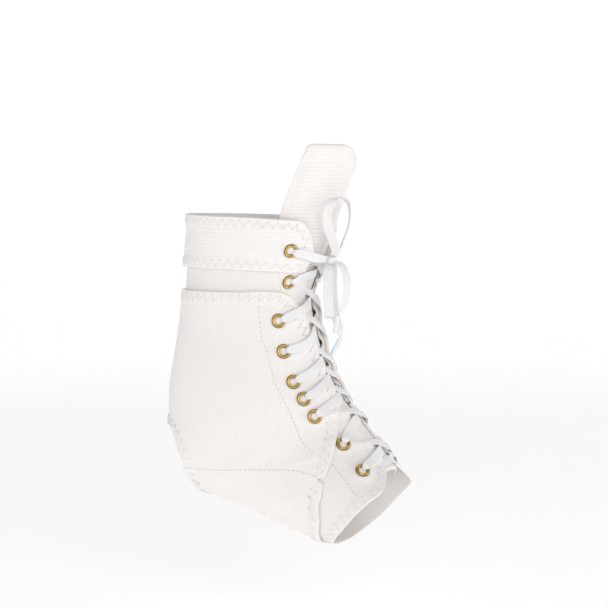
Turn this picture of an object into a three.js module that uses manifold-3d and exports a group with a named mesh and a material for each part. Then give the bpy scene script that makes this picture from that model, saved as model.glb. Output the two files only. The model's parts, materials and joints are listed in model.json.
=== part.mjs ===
// A laced ankle brace of white canvas, as a three.js scene graph. Millimetres, +Z up, toes towards
// +X, the right side towards -Y. The origin is the middle of the hollow at the ankle joint. The
// brace keeps the form it has when it is worn and laced, and its inside is hollow.
import * as THREE from 'three';
import { mergeVertices } from 'three/addons/utils/BufferGeometryUtils.js';
import Module from 'manifold-3d';

const wasm = await Module();
wasm.setup();

// Sizes of the worn form
const LEG_RISE = 101;        // ankle joint to the collar's top edge
const TONGUE_RISE = 150;     // ankle joint to the tongue's top edge
const FOOT_DROP = 121;       // ankle joint to the lowest section under the ball of the foot
const FOOT_REACH = 124;      // ankle joint to the foremost section over the toes
const HEEL_REACH = 60;       // ankle joint to the back of the heel
const FORM_WIDTH = 67;       // across the narrowest place above the ankle

// Cloth
const LINING_T = 1.3;        // facings, ankle band and forefoot wrap
const PANEL_T = 1.6;         // collar, side panels and sole wrap
const TONGUE_T = 2.8;        // padded tongue at its middle
const TONGUE_EDGE_T = 1.2;   // padded tongue at its bound edge
const TONGUE_FLARE = 2.5;    // how far the tongue's top stands off the leg
const LAYER_GAP = 0.6;       // between one layer of cloth and the next
const LACE_ROOM = 1.9;       // between the tongue and the facings, where the laces run
const SEAM_GAP = 0.5;        // between two pieces that meet edge to edge

// Eyelets
const EYELET_OUTER = 9.2;    // across the flange
const EYELET_BORE = 4.5;
const BARREL_WALL = 0.4;
const FLANGE_RISE = 0.95;
const FIT_GAP = 0.3;         // round a barrel, under a flange and under a lace

// Lace
const LACE_W = 6.0;
const LACE_T = 0.9;
const TUCKED_W = 4.4;        // its width where it is gathered at a crossing
const BORE_W = 3.3;          // its width where it is gathered in a bore
const LACE_STEP = 4;         // how far from its side it stays off an edge of cloth below it
const TIP_W = 1.8;           // its width where it is gathered into an aglet
const KNOT_SIZE = 8;
const AGLET_D = 3.0;

// Spacing of the form's grid, near enough to its true size to place edges by
const SECTION_MM = 14;       // from one section to the next
const DEGREE_MM = 0.7;       // for each degree round the form

// Sections of the form from the tongue's top edge down the leg, round the heel and out along the
// foot. Each lies in a plane square to the middle plane of the brace. Columns: front point x and
// z, back point x and z, width, squareness of the back half and of the front half. x is a share
// of FOOT_REACH in front of the joint and of HEEL_REACH behind it. z is a share of LEG_RISE above
// the joint, where 2 stands for TONGUE_RISE, and of FOOT_DROP below it. Width is a share of
// FORM_WIDTH.
const SECTIONS = [
  [0.524, 2.000, -0.767, 2.000, 1.433, 2.0, 2.0],
  [0.404, 1.000, -0.683, 1.000, 1.254, 2.0, 2.0],
  [0.344, 0.792, -0.705, 0.792, 1.134, 2.0, 2.0],
  [0.273, 0.545, -0.728, 0.554, 1.000, 2.0, 2.0],
  [0.298, 0.297, -0.782, 0.287, 0.985, 2.0, 2.0],
  [0.360, 0.040, -0.877, -0.050, 1.060, 2.1, 2.0],
  [0.435, -0.103, -0.907, -0.248, 1.075, 2.1, 2.0],
  [0.497, -0.178, -1.005, -0.438, 1.030, 2.2, 2.0],
  [0.552, -0.244, -0.750, -0.562, 0.985, 2.4, 2.0],
  [0.606, -0.314, -0.245, -0.624, 1.000, 2.6, 2.0],
  [0.657, -0.380, 0.087, -0.701, 1.060, 2.6, 2.0],
  [0.710, -0.455, 0.351, -0.802, 1.149, 2.6, 2.0],
  [0.802, -0.537, 0.548, -0.880, 1.224, 2.6, 2.0],
  [1.000, -0.636, 0.839, -1.000, 1.284, 2.6, 2.1],
];

// Half angle of the tongue at each section, in degrees from the front
const TONGUE_EDGE = [50.5, 57, 58.5, 61, 62, 57, 53, 50, 48, 46, 44, 42, 42, 42];

// Angle at which the cloth begins to come down from the tongue to the leg at each section, and
// the angle that it takes to do so
const SLOPE_START = [50, 50, 50, 54, 54, 52, 50, 49, 48, 48, 50, 52, 52, 52];
const SLOPE_WIDTH = 45;

// Edges of the pieces. Each point is a section number, with its fraction, and an angle in degrees
// from the front round the right side to 180 at the back or the sole.
const COLLAR_TOP = [[1.0, 44], [0.98, 60], [0.96, 95], [0.94, 134], [0.93, 180]];
const COLLAR_FRONT = [[1.0, 44], [1.03, 39.5], [1.15, 34], [1.37, 28.5], [1.85, 23.7], [2.44, 23]];
const COLLAR_BOTTOM = [[2.44, 23], [2.44, 49], [2.45, 89.5], [2.44, 131], [2.46, 180]];

const BAND_TOP = [[1.12, 51.5], [1.1, 90], [1.08, 134], [1.07, 180]];
const BAND_FRONT = [[1.12, 51.5], [1.9, 51.2], [2.46, 49], [2.75, 45.5], [2.95, 44], [3.15, 52],
  [3.5, 60]];
const BAND_BOTTOM = [[3.5, 60], [3.5, 95], [3.52, 134], [3.52, 180]];

const FACING_TOP = [[1.25, 34], [1.22, 50]];
const FACING_FRONT = [[1.25, 34], [1.5, 28.5], [1.85, 25.2], [2.41, 19.5], [2.8, 14], [3.2, 11.8],
  [3.7, 11.8], [4.3, 13], [4.8, 12.8], [5.5, 12.2], [6.3, 12.2], [6.62, 12.8]];
const FACING_BACK = [[1.22, 50], [1.8, 50], [2.46, 47.6], [2.75, 44.1], [2.95, 42.6], [3.15, 50],
  [3.5, 58], [4.27, 60.4], [5.34, 56.5], [6.2, 55], [7.0, 54], [7.5, 53.5]];
const FACING_BOTTOM = [[6.62, 12.8], [6.47, 20], [6.6, 27], [7.1, 33], [7.5, 40], [7.56, 48],
  [7.5, 53.5]];

const PANEL_TOP = [[3.75, 20], [3.49, 24.5], [3.26, 29.5], [3.08, 36], [2.99, 43], [2.96, 60.6],
  [3.0, 79], [3.01, 101.5], [3.03, 134.6], [3.04, 180]];
const PANEL_FRONT = [[3.75, 20], [4.0, 16.5], [4.3, 13.5], [4.8, 11.8], [5.3, 11.2], [6.3, 11.2],
  [6.68, 12.2]];
const PANEL_INSTEP = [[6.68, 12.2], [6.87, 20.1], [7.6, 27.3], [8.31, 34.6], [8.99, 44.9],
  [9.71, 57.5], [10.16, 69.7]];
const PANEL_BACK = [[3.04, 180], [4.5, 180], [6.05, 180]];
const HEEL_EDGE = [[6.05, 180], [6.1, 165], [6.16, 149.7], [6.3, 143.2], [6.55, 135], [6.94, 129.7],
  [7.36, 130.5]];
const SOLE_SEAM = [[7.6, 133], [7.71, 126.4], [7.93, 118], [8.53, 99], [9.01, 90.4], [9.26, 85.4],
  [9.66, 80.1], [10.05, 76]];

const SOLE_HEEL = [[7.6, 133], [7.76, 136.4], [7.97, 138.9], [8.14, 142.3], [8.33, 155], [8.4, 180]];
const SOLE_TOE = [[10.3, 76], [10.45, 80.4], [10.68, 90.3], [11.1, 108.6], [11.3, 131], [11.4, 155],
  [11.42, 180]];

const WRAP_TOP = [[6.78, 11.5], [6.62, 20], [6.75, 27], [7.25, 33], [7.68, 40], [7.9, 50], [8.8, 57],
  [9.4, 70], [9.75, 80], [10.05, 90], [10.55, 109], [10.85, 131], [11.0, 155], [11.05, 180]];
const WRAP_FRONT = [[6.78, 11.5], [7.6, 12], [8.43, 12.6], [9.76, 12.4], [10.3, 13.2], [10.8, 14],
  [11.2, 15]];
const WRAP_TOE = [[11.2, 15], [11.42, 20], [11.51, 23.1], [11.7, 28], [11.84, 33.9], [11.96, 45.5],
  [11.91, 62.3], [11.83, 83.1], [11.8, 99.8], [11.73, 137], [11.72, 180]];

const TONGUE_TOP = 0.0;      // section at the tongue's top edge
const TONGUE_END = 11.3;     // section at its toe end

// Eyelets from the leg to the toes: seven through each facing, then two through the forefoot
// wrap. Columns: section, angle, 1 where the collar or a side panel lies over the facing, and the
// section at which the laces that go to it cross in front of it.
const FACING_EYELETS = 7;
const EYELETS = [
  [1.84, 44.8, 1, 2.38],
  [2.70, 36.9, 0, 3.18],
  [3.76, 46.9, 1, 3.93],
  [4.47, 46.0, 1, 4.67],
  [5.27, 43.7, 1, 5.22],
  [5.92, 41.6, 1, 6.00],
  [6.91, 39.8, 1, 7.60],
  [9.05, 38.5, 0, 9.90],
  [10.78, 42.7, 0, 10.78],
];

// Points of the tied bow, as chosen for the way it falls from the knot
const KNOT_AT = [53.2, -4.0, 74.4];
const LOOP_UP = [[57.6, -8, 79.6], [58.1, -14, 85.4], [57.9, -23, 94.9], [58.7, -27, 104.8],
  [61.6, -25, 111.9], [63.7, -16, 113.7], [65.5, -8, 110.3], [65.8, -5, 103.4], [64.2, -4, 94.6],
  [60.9, -3, 87], [57.6, -2, 80.4]];
const LOOP_DOWN = [[53, -10, 67.6], [53.7, -12, 59], [54.1, -12, 46.4], [53.3, -9, 39],
  [51.6, -4, 38.4], [50.5, -1, 45.8], [50.9, -1, 58.5], [51.9, -3, 67.2]];
const END_ONE = [[58.3, -5, 72.8], [61.9, -6, 69.5], [64.6, -7, 61.4], [64.3, -7, 53.3],
  [62.3, -7, 45.7], [58.6, -6, 40.6]];
const END_TWO = [[51.8, 3.2, 68.2], [50.9, 5.5, 58.2], [51.3, 6.5, 46.7], [52.6, 6, 37.9],
  [55.5, 5, 31], [56.8, 4, 25.1]];
const AGLET_ONE_TIP = [55.7, -5, 28.5];
const AGLET_TWO_TIP = [50.8, 3, 13.9];

const rad = THREE.MathUtils.degToRad;
const smooth = x => THREE.MathUtils.smoothstep(x, 0, 1);
const reach = share => share * (share < 0 ? HEEL_REACH : FOOT_REACH);
const rise = share => share < 0 ? share * FOOT_DROP
  : share <= 1 ? share * LEG_RISE
    : LEG_RISE + (share - 1) * (TONGUE_RISE - LEG_RISE);

const rows = SECTIONS.map(([fx, fz, bx, bz, w, sb, sf]) =>
  [reach(fx), rise(fz), reach(bx), rise(bz), w * FORM_WIDTH / 2, sb, sf]);
const LAST = rows.length - 1;

// A smooth curve through evenly spaced values
function through(values, x) {
  const at = THREE.MathUtils.clamp(x, 0, values.length - 1);
  const i = Math.min(Math.floor(at), values.length - 2);
  const t = at - i;
  const p1 = values[i];
  const p2 = values[i + 1];
  const p0 = i > 0 ? values[i - 1] : 2 * p1 - p2;
  const p3 = i + 2 < values.length ? values[i + 2] : 2 * p2 - p1;
  return 0.5 * (2 * p1 + (p2 - p0) * t + (2 * p0 - 5 * p1 + 4 * p2 - p3) * t * t
    + (3 * p1 - p0 - 3 * p2 + p3) * t * t * t);
}
const columns = rows[0].map((_, c) => rows.map(row => row[c]));

// The worn form: a superellipse in each section's plane
function skin(u, v) {
  const [fx, fz, bx, bz, w, back, front] = columns.map(column => through(column, u));
  const c = Math.cos(rad(v));
  const s = Math.sin(rad(v));
  const power = 2 / (c < 0 ? back : front);
  const along = Math.sign(c) * Math.abs(c) ** power;
  const across = Math.sign(s) * Math.abs(s) ** power;
  return new THREE.Vector3((fx + bx) / 2 + (fx - bx) / 2 * along, -w * across,
    (fz + bz) / 2 + (fz - bz) / 2 * along);
}

function normal(u, v) {
  const du = skin(Math.min(u + 0.01, LAST), v).sub(skin(Math.max(u - 0.01, 0), v));
  const dv = skin(u, v + 0.5).sub(skin(u, v - 0.5));
  return dv.cross(du).normalize();
}

const surface = (u, v, height) => skin(u, v).addScaledVector(normal(u, v), height);

// How far the angle is round the tongue: 0 at the front, 1 at its edge
const tongueShare = (u, v) => Math.abs(v) / through(TONGUE_EDGE, u);
// The tongue's top stands off the leg, and so does its middle where the facings leave it free
const flare = (u, v) => TONGUE_FLARE * (1 - smooth(u / 0.95)
  + smooth(u / 0.95) * (1 - smooth((u - 1) / 1.4)) * (1 - smooth(Math.abs(v) / 22)));
const tongueHeight = (u, v) => flare(u, v) + TONGUE_T
  - (TONGUE_T - TONGUE_EDGE_T) * smooth((tongueShare(u, v) - 0.8) / 0.2);
// Inner face of the first layer: off the tongue at the front, on the form behind it
const base = (u, v) => (TONGUE_T + LACE_ROOM)
  * (1 - smooth((Math.min(Math.abs(v), 360 - Math.abs(v)) - through(SLOPE_START, u)) / SLOPE_WIDTH));
const lining = [base, (u, v) => base(u, v) + LINING_T];
const shell = [0, PANEL_T].map(t => (u, v) => lining[1](u, v) + LAYER_GAP + t);

// Points along an edge, closer together at its start where they lean there
function edge(points, steps, lean = 1) {
  const flat = points.map(([u, v]) => new THREE.Vector3(u * SECTION_MM, v * DEGREE_MM, 0));
  const curve = new THREE.CatmullRomCurve3(flat, false, 'centripetal');
  return Array.from({ length: steps + 1 }, (_, i) => {
    const p = curve.getPointAt((i / steps) ** lean);
    return [p.x / SECTION_MM, p.y / DEGREE_MM];
  });
}
const chain = (...edges) => edges.flatMap((points, i) => i ? points.slice(1) : points);
const mirrored = points => points.map(([u, v]) => [u, 360 - v]).reverse();
const round = points => chain(points, mirrored(points));
const shifted = (points, sections, angle) => points.map(([u, v]) => [u + sections, v + angle]);

// A Coons patch between four edges in section and angle. top and bottom run the same way, and so
// do left and right, which join their ends.
function coons(top, bottom, left, right) {
  const m = left.length - 1;
  const n = top.length - 1;
  return left.map((_, j) => top.map((__, i) => [0, 1].map(k => {
    const s = i / n;
    const t = j / m;
    return (1 - t) * top[i][k] + t * bottom[i][k] + (1 - s) * left[j][k] + s * right[j][k]
      - (1 - s) * (1 - t) * top[0][k] - s * (1 - t) * top[n][k]
      - (1 - s) * t * bottom[0][k] - s * t * bottom[n][k];
  })));
}

// Vertices and triangles as one closed body with its faces pointing out
function body(vertices, triangles) {
  const geometry = new THREE.BufferGeometry();
  const numbers = vertices.flatMap(p => p.toArray());
  geometry.setAttribute('position', new THREE.Float32BufferAttribute(numbers, 3));
  let volume = 0;
  for (const [a, b, c] of triangles) {
    volume += vertices[a].dot(vertices[b].clone().cross(vertices[c]));
  }
  geometry.setIndex(triangles.flatMap(([a, b, c]) => volume < 0 ? [a, c, b] : [a, b, c]));
  geometry.computeVertexNormals();
  return geometry;
}

// A wall of cloth over a grid of section and angle, between two heights off the form
function cloth(grid, [inner, outer]) {
  const m = grid.length;
  const n = grid[0].length;
  const face = height => grid.flat().map(([u, v]) => surface(u, v, height(u, v > 180 ? v - 360 : v)));
  const vertices = [...face(outer), ...face(inner)];
  const triangles = [];
  const span = (a, b) => vertices[a].distanceTo(vertices[b]);
  const quad = (a, b, c, d) => span(a, c) < span(b, d) + 1e-6
    ? triangles.push([a, b, c], [a, c, d]) : triangles.push([b, c, d], [b, d, a]);
  const at = (j, i, side) => side * m * n + j * n + i;
  for (let j = 0; j < m - 1; j++) {
    for (let i = 0; i < n - 1; i++) {
      quad(at(j, i, 0), at(j, i + 1, 0), at(j + 1, i + 1, 0), at(j + 1, i, 0));
      quad(at(j, i, 1), at(j + 1, i, 1), at(j + 1, i + 1, 1), at(j, i + 1, 1));
    }
  }
  for (let i = 0; i < n - 1; i++) {
    quad(at(0, i, 0), at(0, i, 1), at(0, i + 1, 1), at(0, i + 1, 0));
    quad(at(m - 1, i, 0), at(m - 1, i + 1, 0), at(m - 1, i + 1, 1), at(m - 1, i, 1));
  }
  for (let j = 0; j < m - 1; j++) {
    quad(at(j, 0, 0), at(j + 1, 0, 0), at(j + 1, 0, 1), at(j, 0, 1));
    quad(at(j, n - 1, 0), at(j, n - 1, 1), at(j + 1, n - 1, 1), at(j + 1, n - 1, 0));
  }
  return body(vertices, triangles);
}

function toManifold(geometry) {
  const bare = geometry.clone();
  bare.deleteAttribute('normal');
  bare.deleteAttribute('uv');
  const merged = mergeVertices(bare, 1e-4);
  return new wasm.Manifold(new wasm.Mesh({
    numProp: 3,
    vertProperties: new Float32Array(merged.attributes.position.array),
    triVerts: new Uint32Array(merged.index.array),
  }));
}

function fromManifold(solid) {
  const mesh = solid.getMesh();
  const geometry = new THREE.BufferGeometry();
  const numbers = new Float32Array(mesh.vertProperties);
  geometry.setAttribute('position', new THREE.BufferAttribute(numbers, 3));
  geometry.setIndex(new THREE.BufferAttribute(new Uint32Array(mesh.triVerts), 1));
  geometry.computeVertexNormals();
  return geometry;
}

function flipped(geometry) {
  const twin = geometry.clone();
  const position = twin.attributes.position;
  for (let i = 0; i < position.count; i++) {
    position.setY(i, -position.getY(i));
  }
  const index = twin.index.array;
  for (let i = 0; i < index.length; i += 3) {
    [index[i], index[i + 1]] = [index[i + 1], index[i]];
  }
  twin.computeVertexNormals();
  return twin;
}

const material = (color, roughness, metalness = 0) =>
  new THREE.MeshStandardMaterial({ color, roughness, metalness });
const canvas = material(0xf0ebe8, 0.9);
const elastic = material(0xf0ebe9, 0.85);
const smoothLining = material(0xeee8e6, 0.8);
const padding = material(0xf0ebe8, 0.9);
const braid = material(0xf0eeee, 0.85);
const brass = material(0xa8822f, 0.35, 1);
const clearTip = material(0xd9dfe8, 0.2);

const brace = new THREE.Group();
function add(name, geometry, look) {
  const mesh = new THREE.Mesh(geometry, look);
  mesh.name = name;
  brace.add(mesh);
  return mesh;
}

// Height of the outer face that an eyelet sits on, and of the inner face below it
const eyelets = EYELETS.map(([u, v, covered, crossing]) => {
  const inner = base(u, v);
  const outer = (covered ? shell : lining)[1](u, v);
  return { u, v, inner, outer, covered, crossing };
});
// A six-sided hole whose sides clear the barrel, and which the flange covers
const HOLE_R = (EYELET_BORE / 2 + BARREL_WALL + FIT_GAP) / Math.cos(Math.PI / 6);

// Cuts the eyelets' holes through a wall on the right side, or on both
function pierced(geometry, list, both = false) {
  let solid = toManifold(geometry);
  for (const { u, v, inner, outer } of list) {
    for (const side of both ? [1, -1] : [1]) {
      const drill = new THREE.CylinderGeometry(HOLE_R, HOLE_R, 10, 6);
      drill.applyQuaternion(new THREE.Quaternion().setFromUnitVectors(
        new THREE.Vector3(0, 1, 0), normal(u, side * v)));
      drill.translate(...surface(u, side * v, (inner + outer) / 2).toArray());
      solid = solid.subtract(toManifold(drill));
    }
  }
  return fromManifold(solid);
}

// Collar: one elastic band from front to front round the back of the leg
add('collar', pierced(cloth(coons(round(edge(COLLAR_TOP, 13)), round(edge(COLLAR_BOTTOM, 13)),
  edge(COLLAR_FRONT, 4), mirrored(edge(COLLAR_FRONT, 4)).reverse()), shell),
[eyelets[0]], true), elastic);

// Ankle band: the smooth layer that shows between the collar and the side panels
add('ankle_band', cloth(coons(round(edge(BAND_TOP, 12)), round(edge(BAND_BOTTOM, 12)),
  edge(BAND_FRONT, 5), mirrored(edge(BAND_FRONT, 5)).reverse()), lining), smoothLining);

// Facings: the strips under the front edges that carry the upper seven eyelets of each side
const facing = pierced(cloth(coons(edge(FACING_TOP, 4), edge(FACING_BOTTOM, 4),
  edge(FACING_FRONT, 15), edge(FACING_BACK, 15)), lining), eyelets.slice(0, FACING_EYELETS));
add('right_facing', facing, canvas);
add('left_facing', flipped(facing), canvas);

// Side panels: from the front edge to the back seam, and down to the seam with the sole wrap. Each
// piece keeps half the seam's gap from the line of the seam.
const seamSections = SEAM_GAP / 2 / SECTION_MM;
const seamAngle = SEAM_GAP / 2 / DEGREE_MM;
const backSeam = 180 - seamAngle;
const panelSeam = shifted(SOLE_SEAM, -seamSections, -seamAngle);
const panelInstep = shifted(PANEL_INSTEP, -seamSections, 0);
const panelBack = chain(edge(PANEL_BACK, 7), edge([...HEEL_EDGE, panelSeam[0]], 4), edge(panelSeam, 6));
const panelFront = chain(edge(PANEL_FRONT, 7), edge(panelInstep, 10));
const panelGrid = coons(edge(PANEL_TOP, 12, 1.3), edge([panelInstep.at(-1), panelSeam.at(-1)], 12, 1.3),
  panelFront, panelBack).map(row => row.map(([u, v]) => [u, Math.min(v, backSeam)]));
const panel = pierced(cloth(panelGrid, shell), eyelets.filter((e, i) => e.covered && i > 0));
add('right_side_panel', panel, canvas);
add('left_side_panel', flipped(panel), canvas);

// Sole wrap: from seam to seam under the foot, behind it the heel stays open
const wrapSeam = shifted(SOLE_SEAM, seamSections, 0);
const soleTop = chain(edge(wrapSeam, 6).reverse(), edge(shifted(SOLE_HEEL, seamSections, 0), 4));
const soleFront = edge([wrapSeam.at(-1), SOLE_TOE[0]], 5);
add('sole_wrap', cloth(coons(round(soleTop), round(edge(SOLE_TOE, 10)),
  soleFront, mirrored(soleFront).reverse()), shell), canvas);

// Forefoot wrap: from one front edge under the foot to the other, it carries two eyelets a side
const forefoot = eyelets.slice(FACING_EYELETS);
add('forefoot_wrap', pierced(cloth(coons(round(edge(WRAP_TOP, 14)), round(edge(WRAP_TOE, 14)),
  edge(WRAP_FRONT, 5), mirrored(edge(WRAP_FRONT, 5)).reverse()), lining), forefoot, true), canvas);

// Tongue: a padded strip down the front, its top corners rounded
const tongueRow = (u, steps) => Array.from({ length: steps + 1 }, (_, i) => {
  const share = 2 * i / steps - 1;
  const corner = 0.14 * Math.max(0, (Math.abs(share) - 0.7) / 0.3) ** 2 * Math.max(0, 1 - u);
  return [u + corner, share * through(TONGUE_EDGE, u)];
});
const TONGUE_ROWS = 23;
const tongueRows = Array.from({ length: TONGUE_ROWS + 1 }, (_, j) =>
  tongueRow(TONGUE_TOP + (TONGUE_END - TONGUE_TOP) * j / TONGUE_ROWS, 10));
add('tongue', cloth(tongueRows, [flare, tongueHeight]), padding);

// Eyelets: a barrel through the cloth and a domed flange on its outer face
for (const [side, name] of [[1, 'right'], [-1, 'left']]) {
  eyelets.forEach(({ u, v, inner, outer }, i) => {
    const bore = EYELET_BORE / 2;
    const rim = EYELET_OUTER / 2;
    const end = inner - outer + FIT_GAP;
    const profile = [
      [bore, end], [bore + BARREL_WALL, end], [bore + BARREL_WALL, FIT_GAP],
      [rim, FIT_GAP], [(bore + rim) / 2, FIT_GAP + FLANGE_RISE], [bore, FIT_GAP + FLANGE_RISE * 0.45],
      [bore, end],
    ].map(([r, z]) => new THREE.Vector2(r, z));
    const ring = mergeVertices(stripped(new THREE.LatheGeometry(profile, 8)), 1e-4);
    const mesh = add(`${name}_eyelet_${i + 1}`, ring, brass);
    mesh.quaternion.setFromUnitVectors(new THREE.Vector3(0, 1, 0), normal(u, side * v));
    mesh.position.copy(surface(u, side * v, outer));
  });
}

function stripped(geometry) {
  geometry.deleteAttribute('normal');
  geometry.deleteAttribute('uv');
  return geometry;
}

// A flat braid along stations of { at, wide, w, t }: middle, direction of its width, width and
// thickness
function ribbon(stations) {
  const vertices = [];
  const triangles = [];
  stations.forEach(({ at, wide, w, t }, k) => {
    const before = stations[Math.max(k - 1, 0)].at;
    const after = stations[Math.min(k + 1, stations.length - 1)].at;
    const ahead = after.clone().sub(before).normalize();
    const across = wide.clone().addScaledVector(ahead, -wide.dot(ahead)).normalize();
    const up = ahead.clone().cross(across);
    for (const [a, b] of [[-1, -1], [1, -1], [1, 1], [-1, 1]]) {
      vertices.push(at.clone().addScaledVector(across, a * w / 2).addScaledVector(up, b * t / 2));
    }
  });
  for (let k = 0; k < stations.length - 1; k++) {
    for (let c = 0; c < 4; c++) {
      const [p, q] = [4 * k + c, 4 * k + (c + 1) % 4];
      triangles.push([p, q, q + 4], [p, q + 4, p + 4]);
    }
  }
  const end = 4 * (stations.length - 1);
  triangles.push([0, 3, 2], [0, 2, 1], [end, end + 1, end + 2], [end, end + 2, end + 3]);
  return body(vertices, triangles);
}

// Stations along a smooth line through control points of the same form as the stations
function stations(points, step) {
  const line = new THREE.CatmullRomCurve3(points.map(p => p.at), false, 'centripetal');
  const widths = new THREE.CatmullRomCurve3(points.map(p => p.wide), false, 'catmullrom', 0.3);
  const sizes = new THREE.CatmullRomCurve3(points.map(p => new THREE.Vector3(p.w, p.t, 0)), false,
    'catmullrom', 0.3);
  const count = Math.ceil(line.getLength() / step);
  return Array.from({ length: count + 1 }, (_, k) => {
    const t = line.getUtoTmapping(k / count);
    const size = sizes.getPoint(t);
    return { at: line.getPoint(t), wide: widths.getPoint(t), w: size.x, t: size.y };
  });
}

// Lacing. Each half starts at the bar inside the lowest pair, and goes from eyelet to eyelet up
// to the knot: out through an eyelet, over that side's edge, across the front, under the other
// edge and out through that side's next eyelet.
const half = LACE_T / 2;
const sectionMm = u => skin(u + 0.05, 0).distanceTo(skin(u - 0.05, 0)) / 0.1;
const degrees = (u, v, mm) => mm / skin(u, v + 0.5).distanceTo(skin(u, v - 0.5));
// From one place to another, as a unit vector along the form
const heading = (u, v, u2, v2) => surface(u2, v2, 0).sub(surface(u, v, 0)).normalize();
// Middle of a lace that runs between the tongue and the cloth over it
const under = (u, v) => tongueHeight(u, v) + (LACE_ROOM - LACE_T) / 2 + half;
// Angle of an edge at a section
const angleAt = (points, u) => {
  const k = points.findIndex(([section]) => section > u);
  if (k < 1) {
    return points.at(k)[1];
  }
  const [[u0, v0], [u1, v1]] = [points[k - 1], points[k]];
  return v0 + (v1 - v0) * (u - u0) / (u1 - u0);
};
const panelEdge = [...PANEL_TOP.slice(0, 5).reverse(), ...PANEL_FRONT.slice(1),
  ...PANEL_INSTEP.slice(1)];
// Middle of a lace that lies on the collar, a side panel, a facing or the forefoot wrap
function over(u, v) {
  const angle = Math.abs(v) + (LACE_W / 2 + LACE_STEP) / DEGREE_MM;
  const covered = u < COLLAR_BOTTOM[0][0] ? angle > angleAt(COLLAR_FRONT, u)
    : u > PANEL_TOP[4][0] && angle > angleAt(panelEdge, u);
  return (covered ? shell : lining)[1](u, v) + FIT_GAP + half;
}

function lacingPoints(side) {
  const points = [];
  let turn = 1;
  const put = (u, v, height, w, ahead) => points.push({
    at: surface(u, v, height),
    wide: normal(u, v).cross(ahead).multiplyScalar(turn).normalize(),
    w,
    t: LACE_T,
  });
  // up through an eyelet's bore and over its flange
  const out = (e, s, ahead) => {
    const slide = mm => s * (e.v - degrees(e.u, e.v, mm));
    const rimTop = e.outer + FIT_GAP + FLANGE_RISE + FIT_GAP + half;
    put(e.u, slide(0.1), e.inner + 0.7, BORE_W, ahead);
    put(e.u, slide(-0.3), e.outer + 0.7, BORE_W, ahead);
    put(e.u, slide(1.5), rimTop + 0.4, LACE_W * 0.65, ahead);
    put(e.u, slide(5.2), rimTop, LACE_W, ahead);
  };
  // along the tongue from an angle towards an eyelet, to just before its bore
  const into = (e, s, from, ahead) => {
    const slide = mm => s * (e.v - degrees(e.u, e.v, mm));
    const far = e.v - degrees(e.u, e.v, 7.5);
    for (const share of [0.5, 1]) {
      const [u, v] = [from[0] + (e.u - from[0]) * share, s * (from[1] + (far - from[1]) * share)];
      put(u, v, under(u, v), share < 1 ? LACE_W : LACE_W * 0.8, ahead);
    }
    put(e.u, slide(3.2), under(e.u, slide(3.2)), BORE_W, ahead);
    put(e.u, slide(1.0), e.inner - 0.35, BORE_W, ahead);
  };

  let s = side;
  const lowest = eyelets.at(-1);
  put(lowest.u, s * 0.3, under(lowest.u, 0), LACE_W, heading(lowest.u, 0, lowest.u, s * lowest.v));
  into(lowest, s, [lowest.u, 1], heading(lowest.u, 0, lowest.u, s * lowest.v));

  for (let k = eyelets.length - 1; k > 0; k--) {
    const [e, next] = [eyelets[k], eyelets[k - 1]];
    const cross = next.crossing;
    const ahead = heading(e.u, s * e.v, cross, 0);
    const mm = 1 / sectionMm(cross);
    turn = -turn;
    out(e, s, ahead);
    for (const [share, lift] of [[0.38, 0.35], [0.62, 0.1]]) {
      const [u, v] = [e.u + (cross - e.u) * share ** 0.85, e.v * (1 - share)];
      put(u, s * v, over(u, v) + lift, LACE_W, ahead);
    }
    // Columns: angle from this side, millimetres along the form past the crossing, height over
    // the tongue, width
    const passing = s < 0
      ? [[9.5, -3.0, 5.2, LACE_W * 0.8], [4, -1.2, 3.8, TUCKED_W], [-1, 1.2, 2.6, TUCKED_W],
        [-5, 3.8, 2.0, TUCKED_W], [-9, 4.4, 0.6, TUCKED_W], [-13, 4.4, 0, TUCKED_W]]
      : [[9.5, -3.4, 5.2, LACE_W * 0.8], [5, -2.8, 1.7, TUCKED_W], [1, -0.8, 0.4, TUCKED_W],
        [-4, 2.0, 0, TUCKED_W], [-13, 4.4, 0, TUCKED_W]];
    for (const [angle, shift, lift, w] of passing) {
      const [u, v] = [cross - shift * mm, s * angle];
      put(u, v, under(u, v) + lift, w, heading(u, v, u - 0.02, v - s * 6));
    }
    s = -s;
    into(next, s, [cross - 4.4 * mm, 13], heading(next.u, s * (next.v - 5), next.u, s * next.v));
  }

  const highest = eyelets[0];
  turn = -turn;
  out(highest, s, heading(highest.u, s * highest.v, 2.05, 0));
  put(1.98, s * 27, over(1.98, 27) + 0.3, LACE_W, heading(1.98, s * 27, 2.05, 0));
  put(2.05, s * 17, over(2.05, 27) + 0.5, LACE_W, heading(2.05, s * 15, 2.08, 0));
  const knot = new THREE.Vector3(...KNOT_AT);
  const last = points.at(-1);
  const away = last.at.clone().sub(knot).setLength(KNOT_SIZE / 2 + FIT_GAP + half);
  points.push({ ...last, at: knot.add(away), w: TUCKED_W });
  return points;
}

for (const [side, name] of [[1, 'right'], [-1, 'left']]) {
  add(`lacing_from_${name}`, ribbon(lacingPoints(side)), braid);
}

// The tied bow
const knotAt = new THREE.Vector3(...KNOT_AT);
const knot = stripped(new THREE.SphereGeometry(KNOT_SIZE / 2, 8, 6));
add('knot', mergeVertices(knot, 1e-4), braid).position.copy(knotAt);

// Where a loose stretch that heads for a point comes out of the knot
function outOfKnot(p) {
  const way = new THREE.Vector3(...p).sub(knotAt).setLength(KNOT_SIZE / 2 + FIT_GAP + 0.1);
  return knotAt.clone().add(way).toArray();
}

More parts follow.
